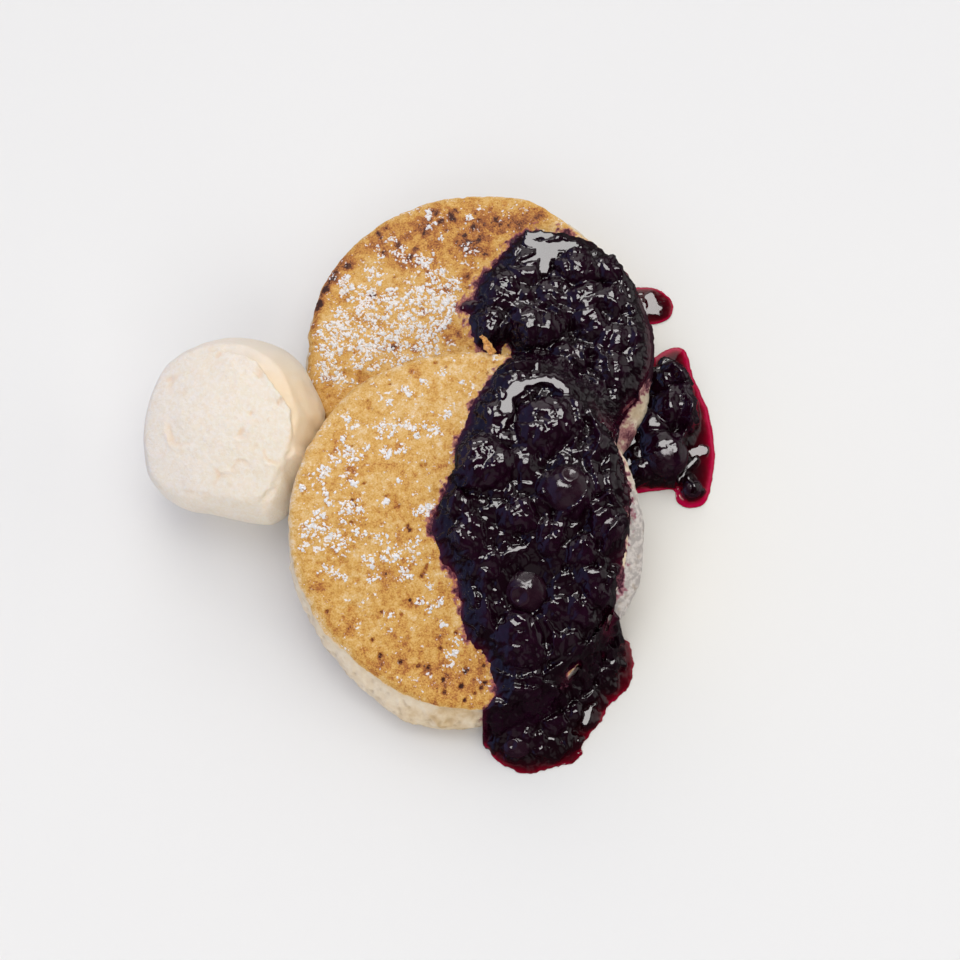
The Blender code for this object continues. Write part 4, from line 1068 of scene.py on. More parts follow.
def make_berries(sauces, material):
    """The whole berries, each set against the height of the sauce skin round it."""
    aims, quads, caps = ball(BERRY_ROWS, BERRY_COLUMNS)
    points, faces, ends, crowns = [], [], [], []
    for number, radius, squash, above, crown in BERRIES:
        low, high = (np.array(corner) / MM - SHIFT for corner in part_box("berry_%d" % number))
        x, y = (low[:2] + high[:2]) / 2
        skin = max(z for z in (drop_onto(made, x, y, 0.0) for made in sauces) if z is not None)
        shape, mark = berry_points(aims, radius, squash, crown, 60 + number)
        shape = shape + np.array((x, y, max(skin + above - radius * squash, radius * squash)))
        faces.append(quads + len(aims) * len(points))
        ends.append(caps + len(aims) * len(points))
        points.append(shape)
        crowns.append(mark)
    fields = {"crown": np.concatenate(crowns)}
    nodes = ["berry_%d" % berry[0] for berry in BERRIES]
    return make_piece("whole_berries", np.concatenate(points), (np.concatenate(faces), np.concatenate(ends)),
                      material, nodes, fields)


# ---------------------------------------------------------------- ice cream
SCOOP_AT = np.array((-69.4, -25.4, 20.5))
SCOOP_RADIUS = 26.2
SCOOP_ROWS, SCOOP_COLUMNS = 190, 256
SLANT = np.array((0.0, -0.342, 0.94))      # axis about which the scoop's outline is uneven
# Reach of the outline over the radius, by angle (degrees) about that axis.
SCOOP_OUTLINE = ((-180, 1.0), (-165, 1.023), (-152, 1.062), (-138, 1.05), (-126, 1.018), (-117, 0.985),
                 (-108, 0.945), (-98, 0.945), (-88, 0.972), (-77, 1.035), (-69, 1.09), (-60, 1.08),
                 (-42, 0.95), (-13, 0.91), (2, 0.94), (12, 0.98), (20, 0.975), (30, 0.965), (44, 1.01),
                 (60, 1.035), (90, 1.025), (113, 1.033), (135, 1.044), (150, 1.01), (165, 0.985))
FACE_AIM = np.array((-0.26, -0.27, 0.927))
FACE_REACH, FACE_DOME = 20.3, 54.0         # distance out to the scooped face; radius of its dome
# Edge of the scooped face, x and y; it overhangs the body as a thin lip on its right.
FACE_EDGE = ((-82.2, -8.3), (-79.4, -9.2), (-76.7, -9.0), (-74.4, -8.3), (-72.1, -9.1), (-69.0, -10.0),
             (-65.9, -11.0), (-62.8, -13.0), (-60.5, -15.5), (-58.6, -18.3), (-56.7, -21.0),
             (-54.8, -23.6), (-53.2, -26.5), (-52.4, -29.1), (-52.0, -32.3), (-52.1, -35.1),
             (-52.7, -37.6), (-53.6, -39.3), (-52.9, -41.7), (-53.2, -42.7), (-54.7, -44.4),
             (-56.6, -46.4), (-58.9, -48.1), (-60.8, -49.7), (-61.9, -51.3), (-63.4, -52.6),
             (-66.5, -52.2), (-72.0, -50.0), (-77.8, -47.2), (-81.7, -46.4), (-85.6, -45.6),
             (-89.5, -44.3), (-92.3, -43.0), (-97, -39), (-101, -32), (-101, -24), (-97, -15.5),
             (-90, -9.5), (-86, -8.2))
FACE_MIDDLE = (-73.5, -30.5)
BRIM = 0.055                 # swelling of the ball round the face's edge, over its radius
BRIM_AT, BRIM_WIDTH = 48.0, 16.0           # degrees off the face's middle
LIP_STEP, LIP_RIDGE = 1.3, 0.5             # drop beyond the lip, and its ridge, mm
# Crescent-edged hollows in the face: x, y, radius, depth, way to their steep side.
CRESCENTS = ((-83.0, -30.4, 4.9, 0.75, (-0.8, -0.6)), (-56.8, -38.2, 3.6, 0.75, (-0.5, -0.85)),
             (-66.6, -43.2, 3.3, 0.5, (-0.1, 1.0)), (-71.6, -46.4, 3.4, 0.4, (-0.4, 0.9)),
             (-66.5, -33.0, 2.0, 0.35, (0.3, -0.9)), (-84.5, -17.5, 3.0, 0.25, (-0.7, 0.3)))
CREAM_PITS = ((-61.6, -16.2, 1.4, 0.9), (-55.6, -24.4, 0.9, 0.8), (-66.7, -33.0, 0.9, 0.45),
              (-73.4, -43.2, 0.9, 0.5), (-87.4, -15.5, 0.9, 0.35), (-73.6, -10.4, 0.8, 0.35),
              (-63.9, -27.8, 0.5, 0.25), (-58.9, -29.9, 0.5, 0.25))
# Ridges on the body beside the lip: x0, y0, x1, y1, half width, rise.
CREAM_FOLDS = ((-53.4, -37.6, -47.1, -36.6, 1.5, 0.9), (-50.6, -17.0, -46.2, -25.0, 1.4, 0.4),
               (-46.0, -20.0, -44.2, -28.0, 1.2, 0.4), (-61.6, -54.0, -55.4, -44.6, 1.6, 0.8))


def scoop_body(aims):
    """Reach of the uneven ball in each direction."""
    up = unit(SLANT)
    north = np.cross(up, (1.0, 0.0, 0.0))
    across, over = aims[:, 0], aims @ north
    turn = np.degrees(np.arctan2(over, across))
    angles, shares = np.array(SCOOP_OUTLINE).T
    share = np.interp(turn, np.append(angles, 180.0), np.append(shares, shares[0]))
    wide = np.hypot(across, over) ** 2
    uneven = 0.012 * fbm(aims * 2.2, 2, 91) + 0.006 * fbm(aims * 6.0, 2, 92)
    off_face = np.degrees(np.arccos(np.clip(aims @ unit(FACE_AIM), -1, 1)))
    turn = np.arctan2(aims[:, 1], aims[:, 0])
    brim = BRIM * np.exp(-((off_face - BRIM_AT) / BRIM_WIDTH) ** 2)
    brim = brim * (1 - 0.95 * bump(turn, -110, 50) - 0.35 * bump(turn, 172, 45))
    return SCOOP_RADIUS * (1 + (share - 1) * wide + brim + uneven)


def scoop_dents(x, y):
    """Depth of the hollows and pits in the face, and the painted shade, a warm orange, along the hollows'
    steep edges and in the pits.
    """
    depth, hollow_shade = np.zeros_like(x), np.zeros_like(x)
    wx, wy = x + 0.5 * plan_noise(x, y, 2.3, 93), y + 0.5 * plan_noise(x, y, 2.3, 94)
    for cx, cy, radius, deep, (ax, ay) in CRESCENTS:
        away = np.hypot(wx - cx, wy - cy)
        steep = np.clip(((wx - cx) * ax + (wy - cy) * ay) / (math.hypot(ax, ay) * radius), 0, 1)
        inside = smooth((radius - away) / 0.9 + 0.5)
        rim = np.exp(-((away - radius - 0.5) / 0.6) ** 2)
        depth += deep * steep * (inside - 0.45 * rim)
        hollow_shade = np.maximum(hollow_shade, 0.8 * steep * np.exp(-((away - radius + 0.5) / 0.6) ** 2))
    for cx, cy, radius, deep in CREAM_PITS:
        pit = np.exp(-(np.hypot(wx - cx, 0.7 * (wy - cy)) / radius) ** 4)
        depth += deep * pit
        hollow_shade = np.maximum(hollow_shade, pit)
    return depth, hollow_shade


def scoop_reach(aims):
    """Distance out to the scoop's surface, lip included, with the share that is churned and unshaded and the
    painted shade of its hollows.
    """
    along = aims @ unit(FACE_AIM)
    centre = FACE_REACH - FACE_DOME
    dome = centre * along + np.sqrt(np.maximum((centre * along) ** 2 - centre ** 2 + FACE_DOME ** 2, 0))
    on_dome = SCOOP_AT + aims * dome[:, None]
    x, y = on_dome[:, 0], on_dome[:, 1]
    frayed = 0.5 * plan_fbm(x, y, 2.6, 3, 95)
    inset = outline_inset(x, y, rounded_outline(FACE_EDGE))[0] + frayed
    turn = np.arctan2(y - FACE_MIDDLE[1], x - FACE_MIDDLE[0])
    lipped = np.clip(1.7 * bump(turn, 15, 75) + 0.3 * bump(turn, -128, 26), 0, 1)
    depth, hollow_shade = scoop_dents(x, y)
    swell = 0.45 * fbm(aims * 4.0, 3, 96) + 0.27 * fbm(aims * 14.0, 3, 97, 0.6)
    out = smooth((0.35 - inset) / 0.8)
    ridge = LIP_RIDGE * np.exp(-((inset - 0.9) / 0.8) ** 2) * (0.6 + 0.8 * plan_fbm(x, y, 3.0, 2, 98))
    surface = dome + lipped * (ridge - LIP_STEP * out) + swell - depth * (1 - out)
    body = scoop_body(aims)
    folds = np.zeros_like(body)
    on_body = SCOOP_AT + aims * body[:, None]
    for x0, y0, x1, y1, half_width, rise in CREAM_FOLDS:
        share = strand_share(on_body[:, 0], on_body[:, 1], ((x0, y0), (x1, y1)), half_width)
        folds += rise * share * smooth(aims[:, 2] * 3)
    body = body + folds * out
    reach = -soft_max(-surface, -body, 0.5)
    on_face = smooth((body - surface) / 1.2 + 0.5) * (1 - out * lipped)
    # the right side facing the crumpets: smooth where swept, and coloured there with painted shade and
    # bounce light
    swept_and_shaded = smooth(0.5 + 1.4 * bump(np.arctan2(aims[:, 1], aims[:, 0]), 25, 75) - 0.7)
    churned_and_unshaded = np.maximum(on_face, 1 - swept_and_shaded)
    return np.where(along > 0.1, reach, body), churned_and_unshaded, 0.7 * hollow_shade * on_face


def make_scoop(material):
    """The scoop of ice cream, flat where it stands on the table."""
    aims, quads, caps = ball(SCOOP_ROWS, SCOOP_COLUMNS)
    reach, on_face, hollow_shade = scoop_reach(aims)
    points = SCOOP_AT + aims * reach[:, None]
    points[:, 2] = np.maximum(points[:, 2], 0.0)
    # painted bounce light: the side's orange fades towards the far side
    bounce_fade = smooth((points[:, 1] - SCOOP_AT[1] - 4.0) / 16.0)
    fields = {"face": on_face, "hollow_shade": hollow_shade, "bounce_fade": bounce_fade}
    return make_piece("ice_cream", points, (quads, caps), material, ("ice_cream_scoop",),
                      fields)


# ---------------------------------------------------------------- icing sugar and crumbs
GRAIN_SIZES = (0.18, 0.56)   # smallest and largest radius of a lump of sugar, mm
CLUMP_SPREAD, CLUMP_GAP = 0.6, 1.9         # spread of a clump, and least gap between clumps, mm
CLUMP_LUMPS = (6, 21)        # fewest lumps in a clump, and one over the most
SOAKED_SUGAR = -1.0          # sugar melts this near the sauce (inset, mm)
STRAYS = 0.8                 # stray grains per square of a spot's radius


def icosahedron():
    """Corners and faces of a regular solid with 20 sides."""
    g = (1 + 5 ** 0.5) / 2
    p = np.array([(-1, g, 0), (1, g, 0), (-1, -g, 0), (1, -g, 0), (0, -1, g), (0, 1, g), (0, -1, -g),
                  (0, 1, -g), (g, 0, -1), (g, 0, 1), (-g, 0, -1), (-g, 0, 1)]) / math.hypot(1, g)
    f = np.array([(0, 11, 5), (0, 5, 1), (0, 1, 7), (0, 7, 10), (0, 10, 11), (1, 5, 9), (5, 11, 4),
                  (11, 10, 2), (10, 7, 6), (7, 1, 8), (3, 9, 4), (3, 4, 2), (3, 2, 6), (3, 6, 8),
                  (3, 8, 9), (4, 9, 5), (2, 4, 11), (6, 2, 10), (8, 6, 7), (9, 8, 1)])
    return p, f


def scatter_on(spots, per_area, rng):
    """Places of lumps in separate clumps inside round spots (x, y, radius), and of stray grains."""
    middles, places = np.empty((0, 2)), []
    for x, y, radius in spots:
        for _ in range(max(2, int(per_area * radius * radius))):
            away, turn = radius * 1.05 * rng.random() ** 0.6, 2 * np.pi * rng.random()
            middle = np.array((x + away * math.cos(turn), y + away * math.sin(turn)))
            if len(middles) and np.hypot(*(middles - middle).T).min() < CLUMP_GAP:
                continue
            middles = np.vstack([middles, middle])
            spread = CLUMP_SPREAD * (0.6 + 0.8 * rng.random())
            for _ in range(rng.integers(*CLUMP_LUMPS)):
                places.append(middle + spread * rng.normal(size=2))
        for _ in range(int(STRAYS * radius * radius)):
            places.append(np.array((x, y)) + 0.7 * radius * rng.normal(size=2))
    return places


def drop_onto(made, x, y, level=0.5):
    """Height (mm, design) of a piece's surface below a place, or None where it is too steep."""
    start = Vector(((x + SHIFT[0]) * MM, (y + SHIFT[1]) * MM, 0.2))
    hit, spot, normal, _ = made.ray_cast(start, Vector((0, 0, -1)))
    if not hit or normal.z < level:
        return None
    return spot.z / MM - SHIFT[2]


def make_grains(name, landings, sizes, material, rng, flat=0.7):
    """Small lumps, each an uneven ball half sunk into what it fell on: (x, y, z) landings."""
    shape, faces = icosahedron()
    points, triangles = [], []
    for x, y, z in landings:
        radius = sizes[0] + (sizes[1] - sizes[0]) * rng.random() ** 2.2
        turned = shape @ np.linalg.qr(rng.normal(size=(3, 3)))[0]
        lump = turned * (radius * (1 + 0.3 * rng.normal(size=(len(shape), 1))).clip(0.45, 1.7))
        lump = lump * np.array((1, 1, flat)) + np.array((x, y, z + 0.2 * radius))
        triangles.append(faces + len(shape) * len(points))
        points.append(lump)
    return make_piece(name, np.concatenate(points), (np.concatenate(triangles),), material, ())


def make_sugar(back, front, material):
    """Lumps of icing sugar on both crumpets, clear of the sauce and of where one covers the other."""
    rng = np.random.default_rng(7)
    landings = []
    for made, spots, per_area, other in ((back, BACK_SUGAR, 2.4, FRONT), (front, FRONT_SUGAR, 2.2, None)):
        places = np.array(scatter_on(spots, per_area, rng))
        places = places[rng.permutation(len(places))]
        soak = sauce_inset(places[:, 0], places[:, 1])[0]
        for (x, y), wet in zip(places, soak):
            if wet > SOAKED_SUGAR or (other is not None and other.inset(x, y) > 1.0):
                continue
            z = drop_onto(made, x, y)
            if z is not None:
                landings.append((x, y, z))
    return make_grains("icing_sugar", landings, GRAIN_SIZES, material, rng)


# The crisp flake: its spine from tip to foot, its half widths there, its rows and columns.
FLAKE_SPINE = ((0.3, -4.1, 40.9), (1.3, -5.3, 40.3), (2.4, -7.2, 39.6), (3.8, -8.8, 38.8))
FLAKE_WIDTHS = (0.5, 0.8, 1.35, 0.9)
FLAKE_ROWS, FLAKE_COLUMNS = 15, 9
CRUMBS = ((-43.0, -10.4), (-20.0, 20.5), (-9.5, -12.5), (2.0, -14.5), (-3.8, 20.3), (5.5, -8.6),
          (-30.5, -62.0), (-12.0, -83.0), (-20.0, -88.0), (4.0, -11.0))
CRUMB_SIZES = (0.35, 0.75)   # smallest and largest radius of a crumb, mm


def make_flake(material):
    """A small crisp flake of crust standing up beside the compote."""
    spine, widths = np.array(FLAKE_SPINE), np.array(FLAKE_WIDTHS)
    at = np.linspace(0, len(spine) - 1, FLAKE_ROWS)
    spine = np.stack([np.interp(at, np.arange(len(spine)), spine[:, k]) for k in range(3)], 1)
    widths = np.interp(at, np.arange(len(widths)), widths)
    across = np.linspace(-1, 1, FLAKE_COLUMNS)
    side, lift = np.array((0.84, 0.5, 0.2)), np.array((0.0, 0.0, 1.0))
    rows = spine[:, None] + side * (across[None, :, None] * widths[:, None, None])
    curl = 0.5 * (across ** 2)[None, :, None] * widths[:, None, None] * lift
    rows = rows + 0.45 * noise(rows.reshape(-1, 3) / 0.9, 133).reshape(FLAKE_ROWS, FLAKE_COLUMNS, 1) * side
    wobble = 0.3 * noise(rows.reshape(-1, 3) / 0.8, 131).reshape(FLAKE_ROWS, FLAKE_COLUMNS, 1) * lift
    top = (rows + curl + wobble).reshape(-1, 3)
    count = len(top)
    index = np.arange(count).reshape(FLAKE_ROWS, FLAKE_COLUMNS)
    quads = np.stack([index[:-1, :-1], index[:-1, 1:], index[1:, 1:], index[1:, :-1]], -1).reshape(-1, 4)
    rim = open_edges(quads)
    wall = np.stack([rim[:, 1], rim[:, 0], rim[:, 0] + count, rim[:, 1] + count], 1)
    points = np.concatenate([top, top - np.array((0.05, 0.05, 0.35))])
    return make_piece("crisp_flake", points, (quads, quads[:, ::-1] + count, wall), material, ())


def make_crumbs(pieces, material):
    """A few crumbs on the crumpets."""
    rng = np.random.default_rng(19)
    landings = []
    for x, y in CRUMBS:
        found = [z for z in (drop_onto(made, x, y, 0.0) for made in pieces) if z is not None]
        if found:
            landings.append((x, y, max(found)))
    return make_grains("crumbs", landings, CRUMB_SIZES, material, rng, 0.8)


# ---------------------------------------------------------------- materials
class Look:
    """A node material under construction."""

    def __init__(self, name):
        self.material = bpy.data.materials.new(name)
        self.material.use_nodes = True
        self.tree = self.material.node_tree
        self.tree.nodes.clear()
        self.shader = self.add("ShaderNodeBsdfPrincipled")
        output = self.add("ShaderNodeOutputMaterial")
        self.tree.links.new(self.shader.outputs[0], output.inputs["Surface"])
        self.place = self.add("ShaderNodeTexCoord").outputs["Object"]

    def add(self, kind, **settings):
        node = self.tree.nodes.new(kind)
        for key, value in settings.items():
            setattr(node, key, value)
        return node

    def feed(self, node, socket, value):
        if hasattr(value, "is_linked"):
            self.tree.links.new(value, node.inputs[socket])
        elif isinstance(value, tuple) and len(value) == 3 and node.inputs[socket].type == "RGBA":
            node.inputs[socket].default_value = (*value, 1.0)
        else:
            node.inputs[socket].default_value = value

    def set(self, **values):
        """Feeds the shader's own sockets; underscores stand for spaces."""
        for key, value in values.items():
            self.feed(self.shader, key.replace("_", " "), value)

    def field(self, name):
        return self.add("ShaderNodeAttribute", attribute_name=name).outputs["Fac"]

    def noise(self, cell, detail=3.0, rough=0.55, offset=(0, 0, 0)):
        """Noise with cells of the given size in mm, about 0 to 1."""
        mapping = self.add("ShaderNodeMapping")
        self.feed(mapping, "Vector", self.place)
        self.feed(mapping, "Location", offset)
        node = self.add("ShaderNodeTexNoise")
        self.feed(node, "Vector", mapping.outputs[0])
        for socket, value in (("Scale", 1 / (cell * MM)), ("Detail", detail), ("Roughness", rough)):
            self.feed(node, socket, value)
        return node.outputs["Fac"]

    def math(self, operation, a, b=0.0, c=0.0, clamp=False):
        node = self.add("ShaderNodeMath", operation=operation, use_clamp=clamp)
        for socket, value in enumerate((a, b, c)):
            self.feed(node, socket, value)
        return node.outputs[0]

    def span(self, value, low, high, to_low=0.0, to_high=1.0, soft=True):
        """Maps low to high onto the new range, held at its ends."""
        node = self.add("ShaderNodeMapRange", interpolation_type="SMOOTHSTEP" if soft else "LINEAR")
        for socket, number in (("Value", value), ("From Min", low), ("From Max", high),
                               ("To Min", to_low), ("To Max", to_high)):
            self.feed(node, socket, number)
        return node.outputs["Result"]

    def rough(self, value, low, high):
        """Roughness from low to high by a noise."""
        return self.span(value, 0.3, 0.7, low, high)

    def mix(self, share, a, b):
        node = self.add("ShaderNodeMix", data_type="RGBA")
        self.feed(node, 0, share)
        self.feed(node, 6, a)
        self.feed(node, 7, b)
        return node.outputs[2]

    def ramp(self, value, stops):
        node = self.add("ShaderNodeValToRGB")
        self.feed(node, "Fac", value)
        points = node.color_ramp.elements
        while len(points) < len(stops):
            points.new(0.5)
        for point, (at, colour) in zip(points, stops):
            point.position, point.color = at, (*colour, 1.0)
        return node.outputs["Color"]

    def bump(self, height, depth, strength=1.0):
        """Bump of the given depth in mm."""
        node = self.add("ShaderNodeBump")
        self.feed(node, "Height", height)
        self.feed(node, "Distance", depth * MM)
        self.feed(node, "Strength", strength)
        return node.outputs["Normal"]


CRUST_TONES = ((0.0, (0.82, 0.62, 0.38)), (0.15, (0.76, 0.50, 0.20)), (0.35, (0.69, 0.395, 0.10)),
               (0.5, (0.60, 0.30, 0.065)), (0.65, (0.46, 0.17, 0.042)), (0.8, (0.30, 0.10, 0.034)),
               (0.92, (0.15, 0.05, 0.025)), (1.0, (0.06, 0.022, 0.015)))
SUGAR_WHITE = (0.92, 0.88, 0.85)
# Sauce stains from faint to deep: soaking at which each begins and is full, its share, its colour.
STAIN_TONES = ((0.1, 0.6, 0.75, (0.33, 0.062, 0.115)), (0.55, 0.95, 0.85, (0.085, 0.010, 0.034)),
               (0.9, 1.15, 0.92, (0.018, 0.003, 0.01)))
# Sauce from thin to deep: share of the depth that colours it, and its colour.
SAUCE_ON_TABLE = ((0.0, (0.42, 0.0008, 0.045)), (0.03, (0.34, 0.0006, 0.030)),
                  (0.076, (0.20, 0.0004, 0.014)), (0.12, (0.12, 0.0003, 0.007)),
                  (0.18, (0.065, 0.0003, 0.0045)), (0.27, (0.036, 0.0004, 0.0035)),
                  (0.42, (0.018, 0.0006, 0.003)), (0.88, (0.006, 0.0007, 0.0022)))
SAUCE_ON_CAKE = ((0.0, (0.040, 0.0015, 0.010)), (0.4, (0.012, 0.0010, 0.005)),
                 (1.0, (0.0055, 0.0007, 0.003)))
# Patches in the ice cream: cell, roughness and offset of their noise, its span, share, colour.
CREAM_PATCHES = ((2.6, 0.6, (0.3, 0, 0), (0.48, 0.7), 0.45, (0.89, 0.735, 0.54)),
                 (1.1, 0.65, (0, 0.3, 0), (0.42, 0.62), 0.5, (0.985, 0.92, 0.84)))


def crumb_colour(look):
    """Pale puffy side of a crumpet, painted greyer towards its right and near side as shade, with painted
    shade darkening its pores.
    """
    patches = look.span(look.noise(2.4, 3, 0.6), 0.35, 0.7)
    dry = look.mix(patches, (0.78, 0.645, 0.45), (0.84, 0.73, 0.55))
    veins = look.span(look.noise(1.7, 3, 0.6, (0.4, 0.1, 0)), 0.38, 0.62)
    # painted shade: grey tones for the crumb side where it lies in shade
    shaded_crumb = look.mix(veins, (0.44, 0.405, 0.385), (0.68, 0.635, 0.60))
    dry = look.mix(look.field("toasted"), dry, look.mix(patches, (0.58, 0.40, 0.20), (0.72, 0.56, 0.34)))
    # painted shade: the wet field turns the crumb side grey where it lies in shade
    crumb = look.mix(look.field("wet"), dry, shaded_crumb)
    # painted shade: pores darkened to a deep brown, as shade in those hollows
    return look.mix(look.math("MULTIPLY", look.field("shaded_pores"), 0.45), crumb, (0.40, 0.28, 0.16))


def crust_colour(look, grain):
    """Griddled top: tones by browning, broken up finely, with scorched spots, and painted shade darkening
    its holes, dents and pits.
    """
    mottle = look.noise(1.5, 3, 0.6, (0.3, 0.1, 0))
    blotch = look.noise(4.5, 2, 0.5, (0.1, 0.5, 0))
    tone = look.field("brown")
    for value, amount in ((grain, 1.2), (mottle, 0.66), (blotch, 0.3)):
        tone = look.math("ADD", tone, look.math("MULTIPLY_ADD", value, amount, -amount / 2))
    # painted shade: holes, dents and pits darken the tone, as shade in those hollows; char is real scorching
    for name, amount in (("char", 0.46), ("hole_shade", 0.45), ("dent_shade", 0.14)):
        tone = look.math("ADD", tone, look.math("MULTIPLY", look.field(name), amount))
    specks = look.span(look.noise(0.85, 2, 0.5, (0.7, 0.2, 0)), 0.66, 0.71)
    scorched = look.math("MULTIPLY", specks, look.span(look.field("brown"), 0.4, 0.62))
    tone = look.math("ADD", tone, look.math("MULTIPLY", scorched, 0.34))
    return look.ramp(look.math("ADD", tone, 0.0, clamp=True), CRUST_TONES)


def powder_mask(look):
    """Where icing sugar lies: broken patches, denser where the sugar field is high."""
    value = look.math("MULTIPLY_ADD", look.noise(0.9, 2, 0.5, (0, 0.4, 0)), 0.55,
                      look.math("MULTIPLY", look.noise(3.0, 2, 0.5, (0.2, 0, 0.1)), 0.45))
    value = look.math("MULTIPLY_ADD", look.field("sugar"), 0.09, value)
    return look.math("MULTIPLY", look.span(value, 0.615, 0.665), look.span(look.field("sugar"), 0.02, 0.12))


def crumpet_look():
    """Griddled top, pale crumb sides, powdered sugar and sauce stains."""
    look = Look("griddled_crumpet")
    grain = look.noise(0.5, 4, 0.62)
    colour = look.mix(look.field("crust"), crumb_colour(look), crust_colour(look, grain))
    powder = powder_mask(look)
    colour = look.mix(look.math("MULTIPLY", powder, 0.92), colour, SUGAR_WHITE)
    blotches = look.math("MULTIPLY_ADD", look.noise(0.7, 3, 0.65), 1.1, -0.55)
    soak = look.math("ADD", look.field("stain"), blotches)
    for begins, full, share, tone in STAIN_TONES:
        colour = look.mix(look.span(soak, begins, full, 0, share), colour, tone)
    height = look.math("ADD", grain, look.math("MULTIPLY", look.noise(0.22, 2), 0.35))
    height = look.math("MULTIPLY_ADD", powder, 0.6, height)
    look.set(Base_Color=colour, Roughness=look.rough(grain, 0.5, 0.78),
             Normal=look.bump(height, 0.2, 0.9), IOR=1.45, Specular_IOR_Level=0.12)
    return look.material


def sauce_look():
    """Dark glossy sauce, crimson where it lies thin on the table."""
    look = Look("berry_sauce")
    drift = look.noise(5.0, 3, 0.5)
    thick = look.math("MULTIPLY", look.field("thick"), look.math("MULTIPLY_ADD", drift, 0.8, 0.6))
    on_table = look.ramp(look.span(thick, 0.1, 3.4, soft=False), SAUCE_ON_TABLE)
    on_cake = look.ramp(look.span(thick, 0.2, 3.0, soft=False), SAUCE_ON_CAKE)
    colour = look.mix(look.field("table"), on_cake, on_table)
    skin = look.span(look.field("thick"), 4.0, 7.0)
    purple = look.math("MULTIPLY", skin, look.span(look.noise(2.2, 3), 0.35, 0.65, 0.3, 1.0))
    colour = look.mix(purple, colour, (0.012, 0.0014, 0.008))
    fine = look.bump(look.noise(0.6, 1, 0.5), 0.08, look.span(look.field("crinkle"), 0.0, 1.0, 0.06, 0.6))
    look.set(Base_Color=colour, Roughness=look.rough(drift, 0.05, 0.13), Normal=fine, IOR=1.38)
    return look.material


def berry_look():
    """A stewed berry's dull dark skin."""
    look = Look("stewed_berry")
    drift = look.noise(2.6, 3, 0.6)
    colour = look.mix(drift, (0.008, 0.002, 0.006), (0.024, 0.006, 0.014))
    colour = look.mix(look.math("MULTIPLY", look.field("crown"), 0.4), colour, (0.02, 0.003, 0.008))
    skin = look.bump(look.noise(0.8, 3, 0.6), 0.08, 0.6)
    look.set(Base_Color=colour, Roughness=look.rough(drift, 0.12, 0.26), Normal=skin, IOR=1.38)
    return look.material


def ice_cream_look():
    """Churned ice cream: paler on the scooped face; its right side is painted warm orange as shade lit by
    bounce light from the crumpets, paler towards the far side.
    """
    look = Look("churned_cream")
    drift = look.noise(9.0, 3, 0.5)
    colour = look.mix(drift, (0.93, 0.81, 0.635), (0.975, 0.88, 0.75))
    for cell, rough, offset, (low, high), share, tone in CREAM_PATCHES:
        patch = look.span(look.noise(cell, 3, rough, offset), low, high, 0, share)
        colour = look.mix(patch, colour, tone)
    # painted shade and bounce light: warm orange on the side facing the crumpets, paler towards the far side
    side = look.mix(look.noise(5.0, 2), (0.83, 0.63, 0.40), (0.89, 0.755, 0.575))
    side = look.mix(look.field("bounce_fade"), side, (0.79, 0.71, 0.60))
    colour = look.mix(look.field("face"), side, colour)
    # painted shade: the face's hollows and pits are coloured warm orange
    colour = look.mix(look.math("MULTIPLY", look.field("hollow_shade"), 0.55), colour, (0.86, 0.56, 0.30))
    grain = look.noise(0.8, 4, 0.72)
    icy = look.math("MULTIPLY_ADD", look.field("face"), 0.6, 0.2)
    look.set(Base_Color=colour, Roughness=look.math("MULTIPLY_ADD", look.field("face"), 0.1, 0.46),
             Normal=look.bump(grain, 0.7, icy), Subsurface_Weight=0.2, Subsurface_Radius=(1.0, 0.6, 0.35),
             Subsurface_Scale=0.0015, IOR=1.35, Specular_IOR_Level=0.25)
    return look.material


def sugar_look():
    """White lumps of sugar."""
    look = Look("icing_sugar")
    grain = look.noise(0.25, 3, 0.6)
    colour = look.mix(grain, (0.92, 0.885, 0.85), (0.97, 0.95, 0.93))
    look.set(Base_Color=colour, Roughness=look.rough(grain, 0.6, 0.85),
             Normal=look.bump(grain, 0.05, 0.5), Subsurface_Weight=0.3,
             Subsurface_Radius=(1.0, 0.9, 0.8), Subsurface_Scale=0.0006)
    return look.material


def flake_look():
    """Crisp toasted crust."""
    look = Look("crisp_crust")
    grain = look.noise(0.5, 3, 0.6)
    colour = look.mix(look.span(grain, 0.3, 0.7), (0.38, 0.13, 0.02), (0.78, 0.40, 0.08))
    look.set(Base_Color=colour, Roughness=look.rough(grain, 0.45, 0.7),
             Normal=look.bump(grain, 0.1, 0.7))
    return look.material


def floor_look():
    """Pale matt floor."""
    look = Look("pale_floor")
    drift = look.noise(260.0, 2)
    colour = look.mix(drift, (0.80, 0.80, 0.772), (0.82, 0.82, 0.792))
    look.set(Base_Color=colour, Roughness=look.rough(drift, 0.75, 0.85))
    return look.material


# ---------------------------------------------------------------- studio
VIEW_HEIGHT_DEG = 70.0       # camera's elevation
VIEW_DISTANCE = 0.9          # from the aim, m
AIM_FROM_BACK_CENTRE = (0.0, -38.0, 15.0)
FRAME_WIDTH = 0.27427        # width seen at the aim, m
SENSOR = 36.0                # mm
FLOOR_REACH, FLOOR_DROP = 2.0, 0.0002    # half its side, and how far it lies below the part, m
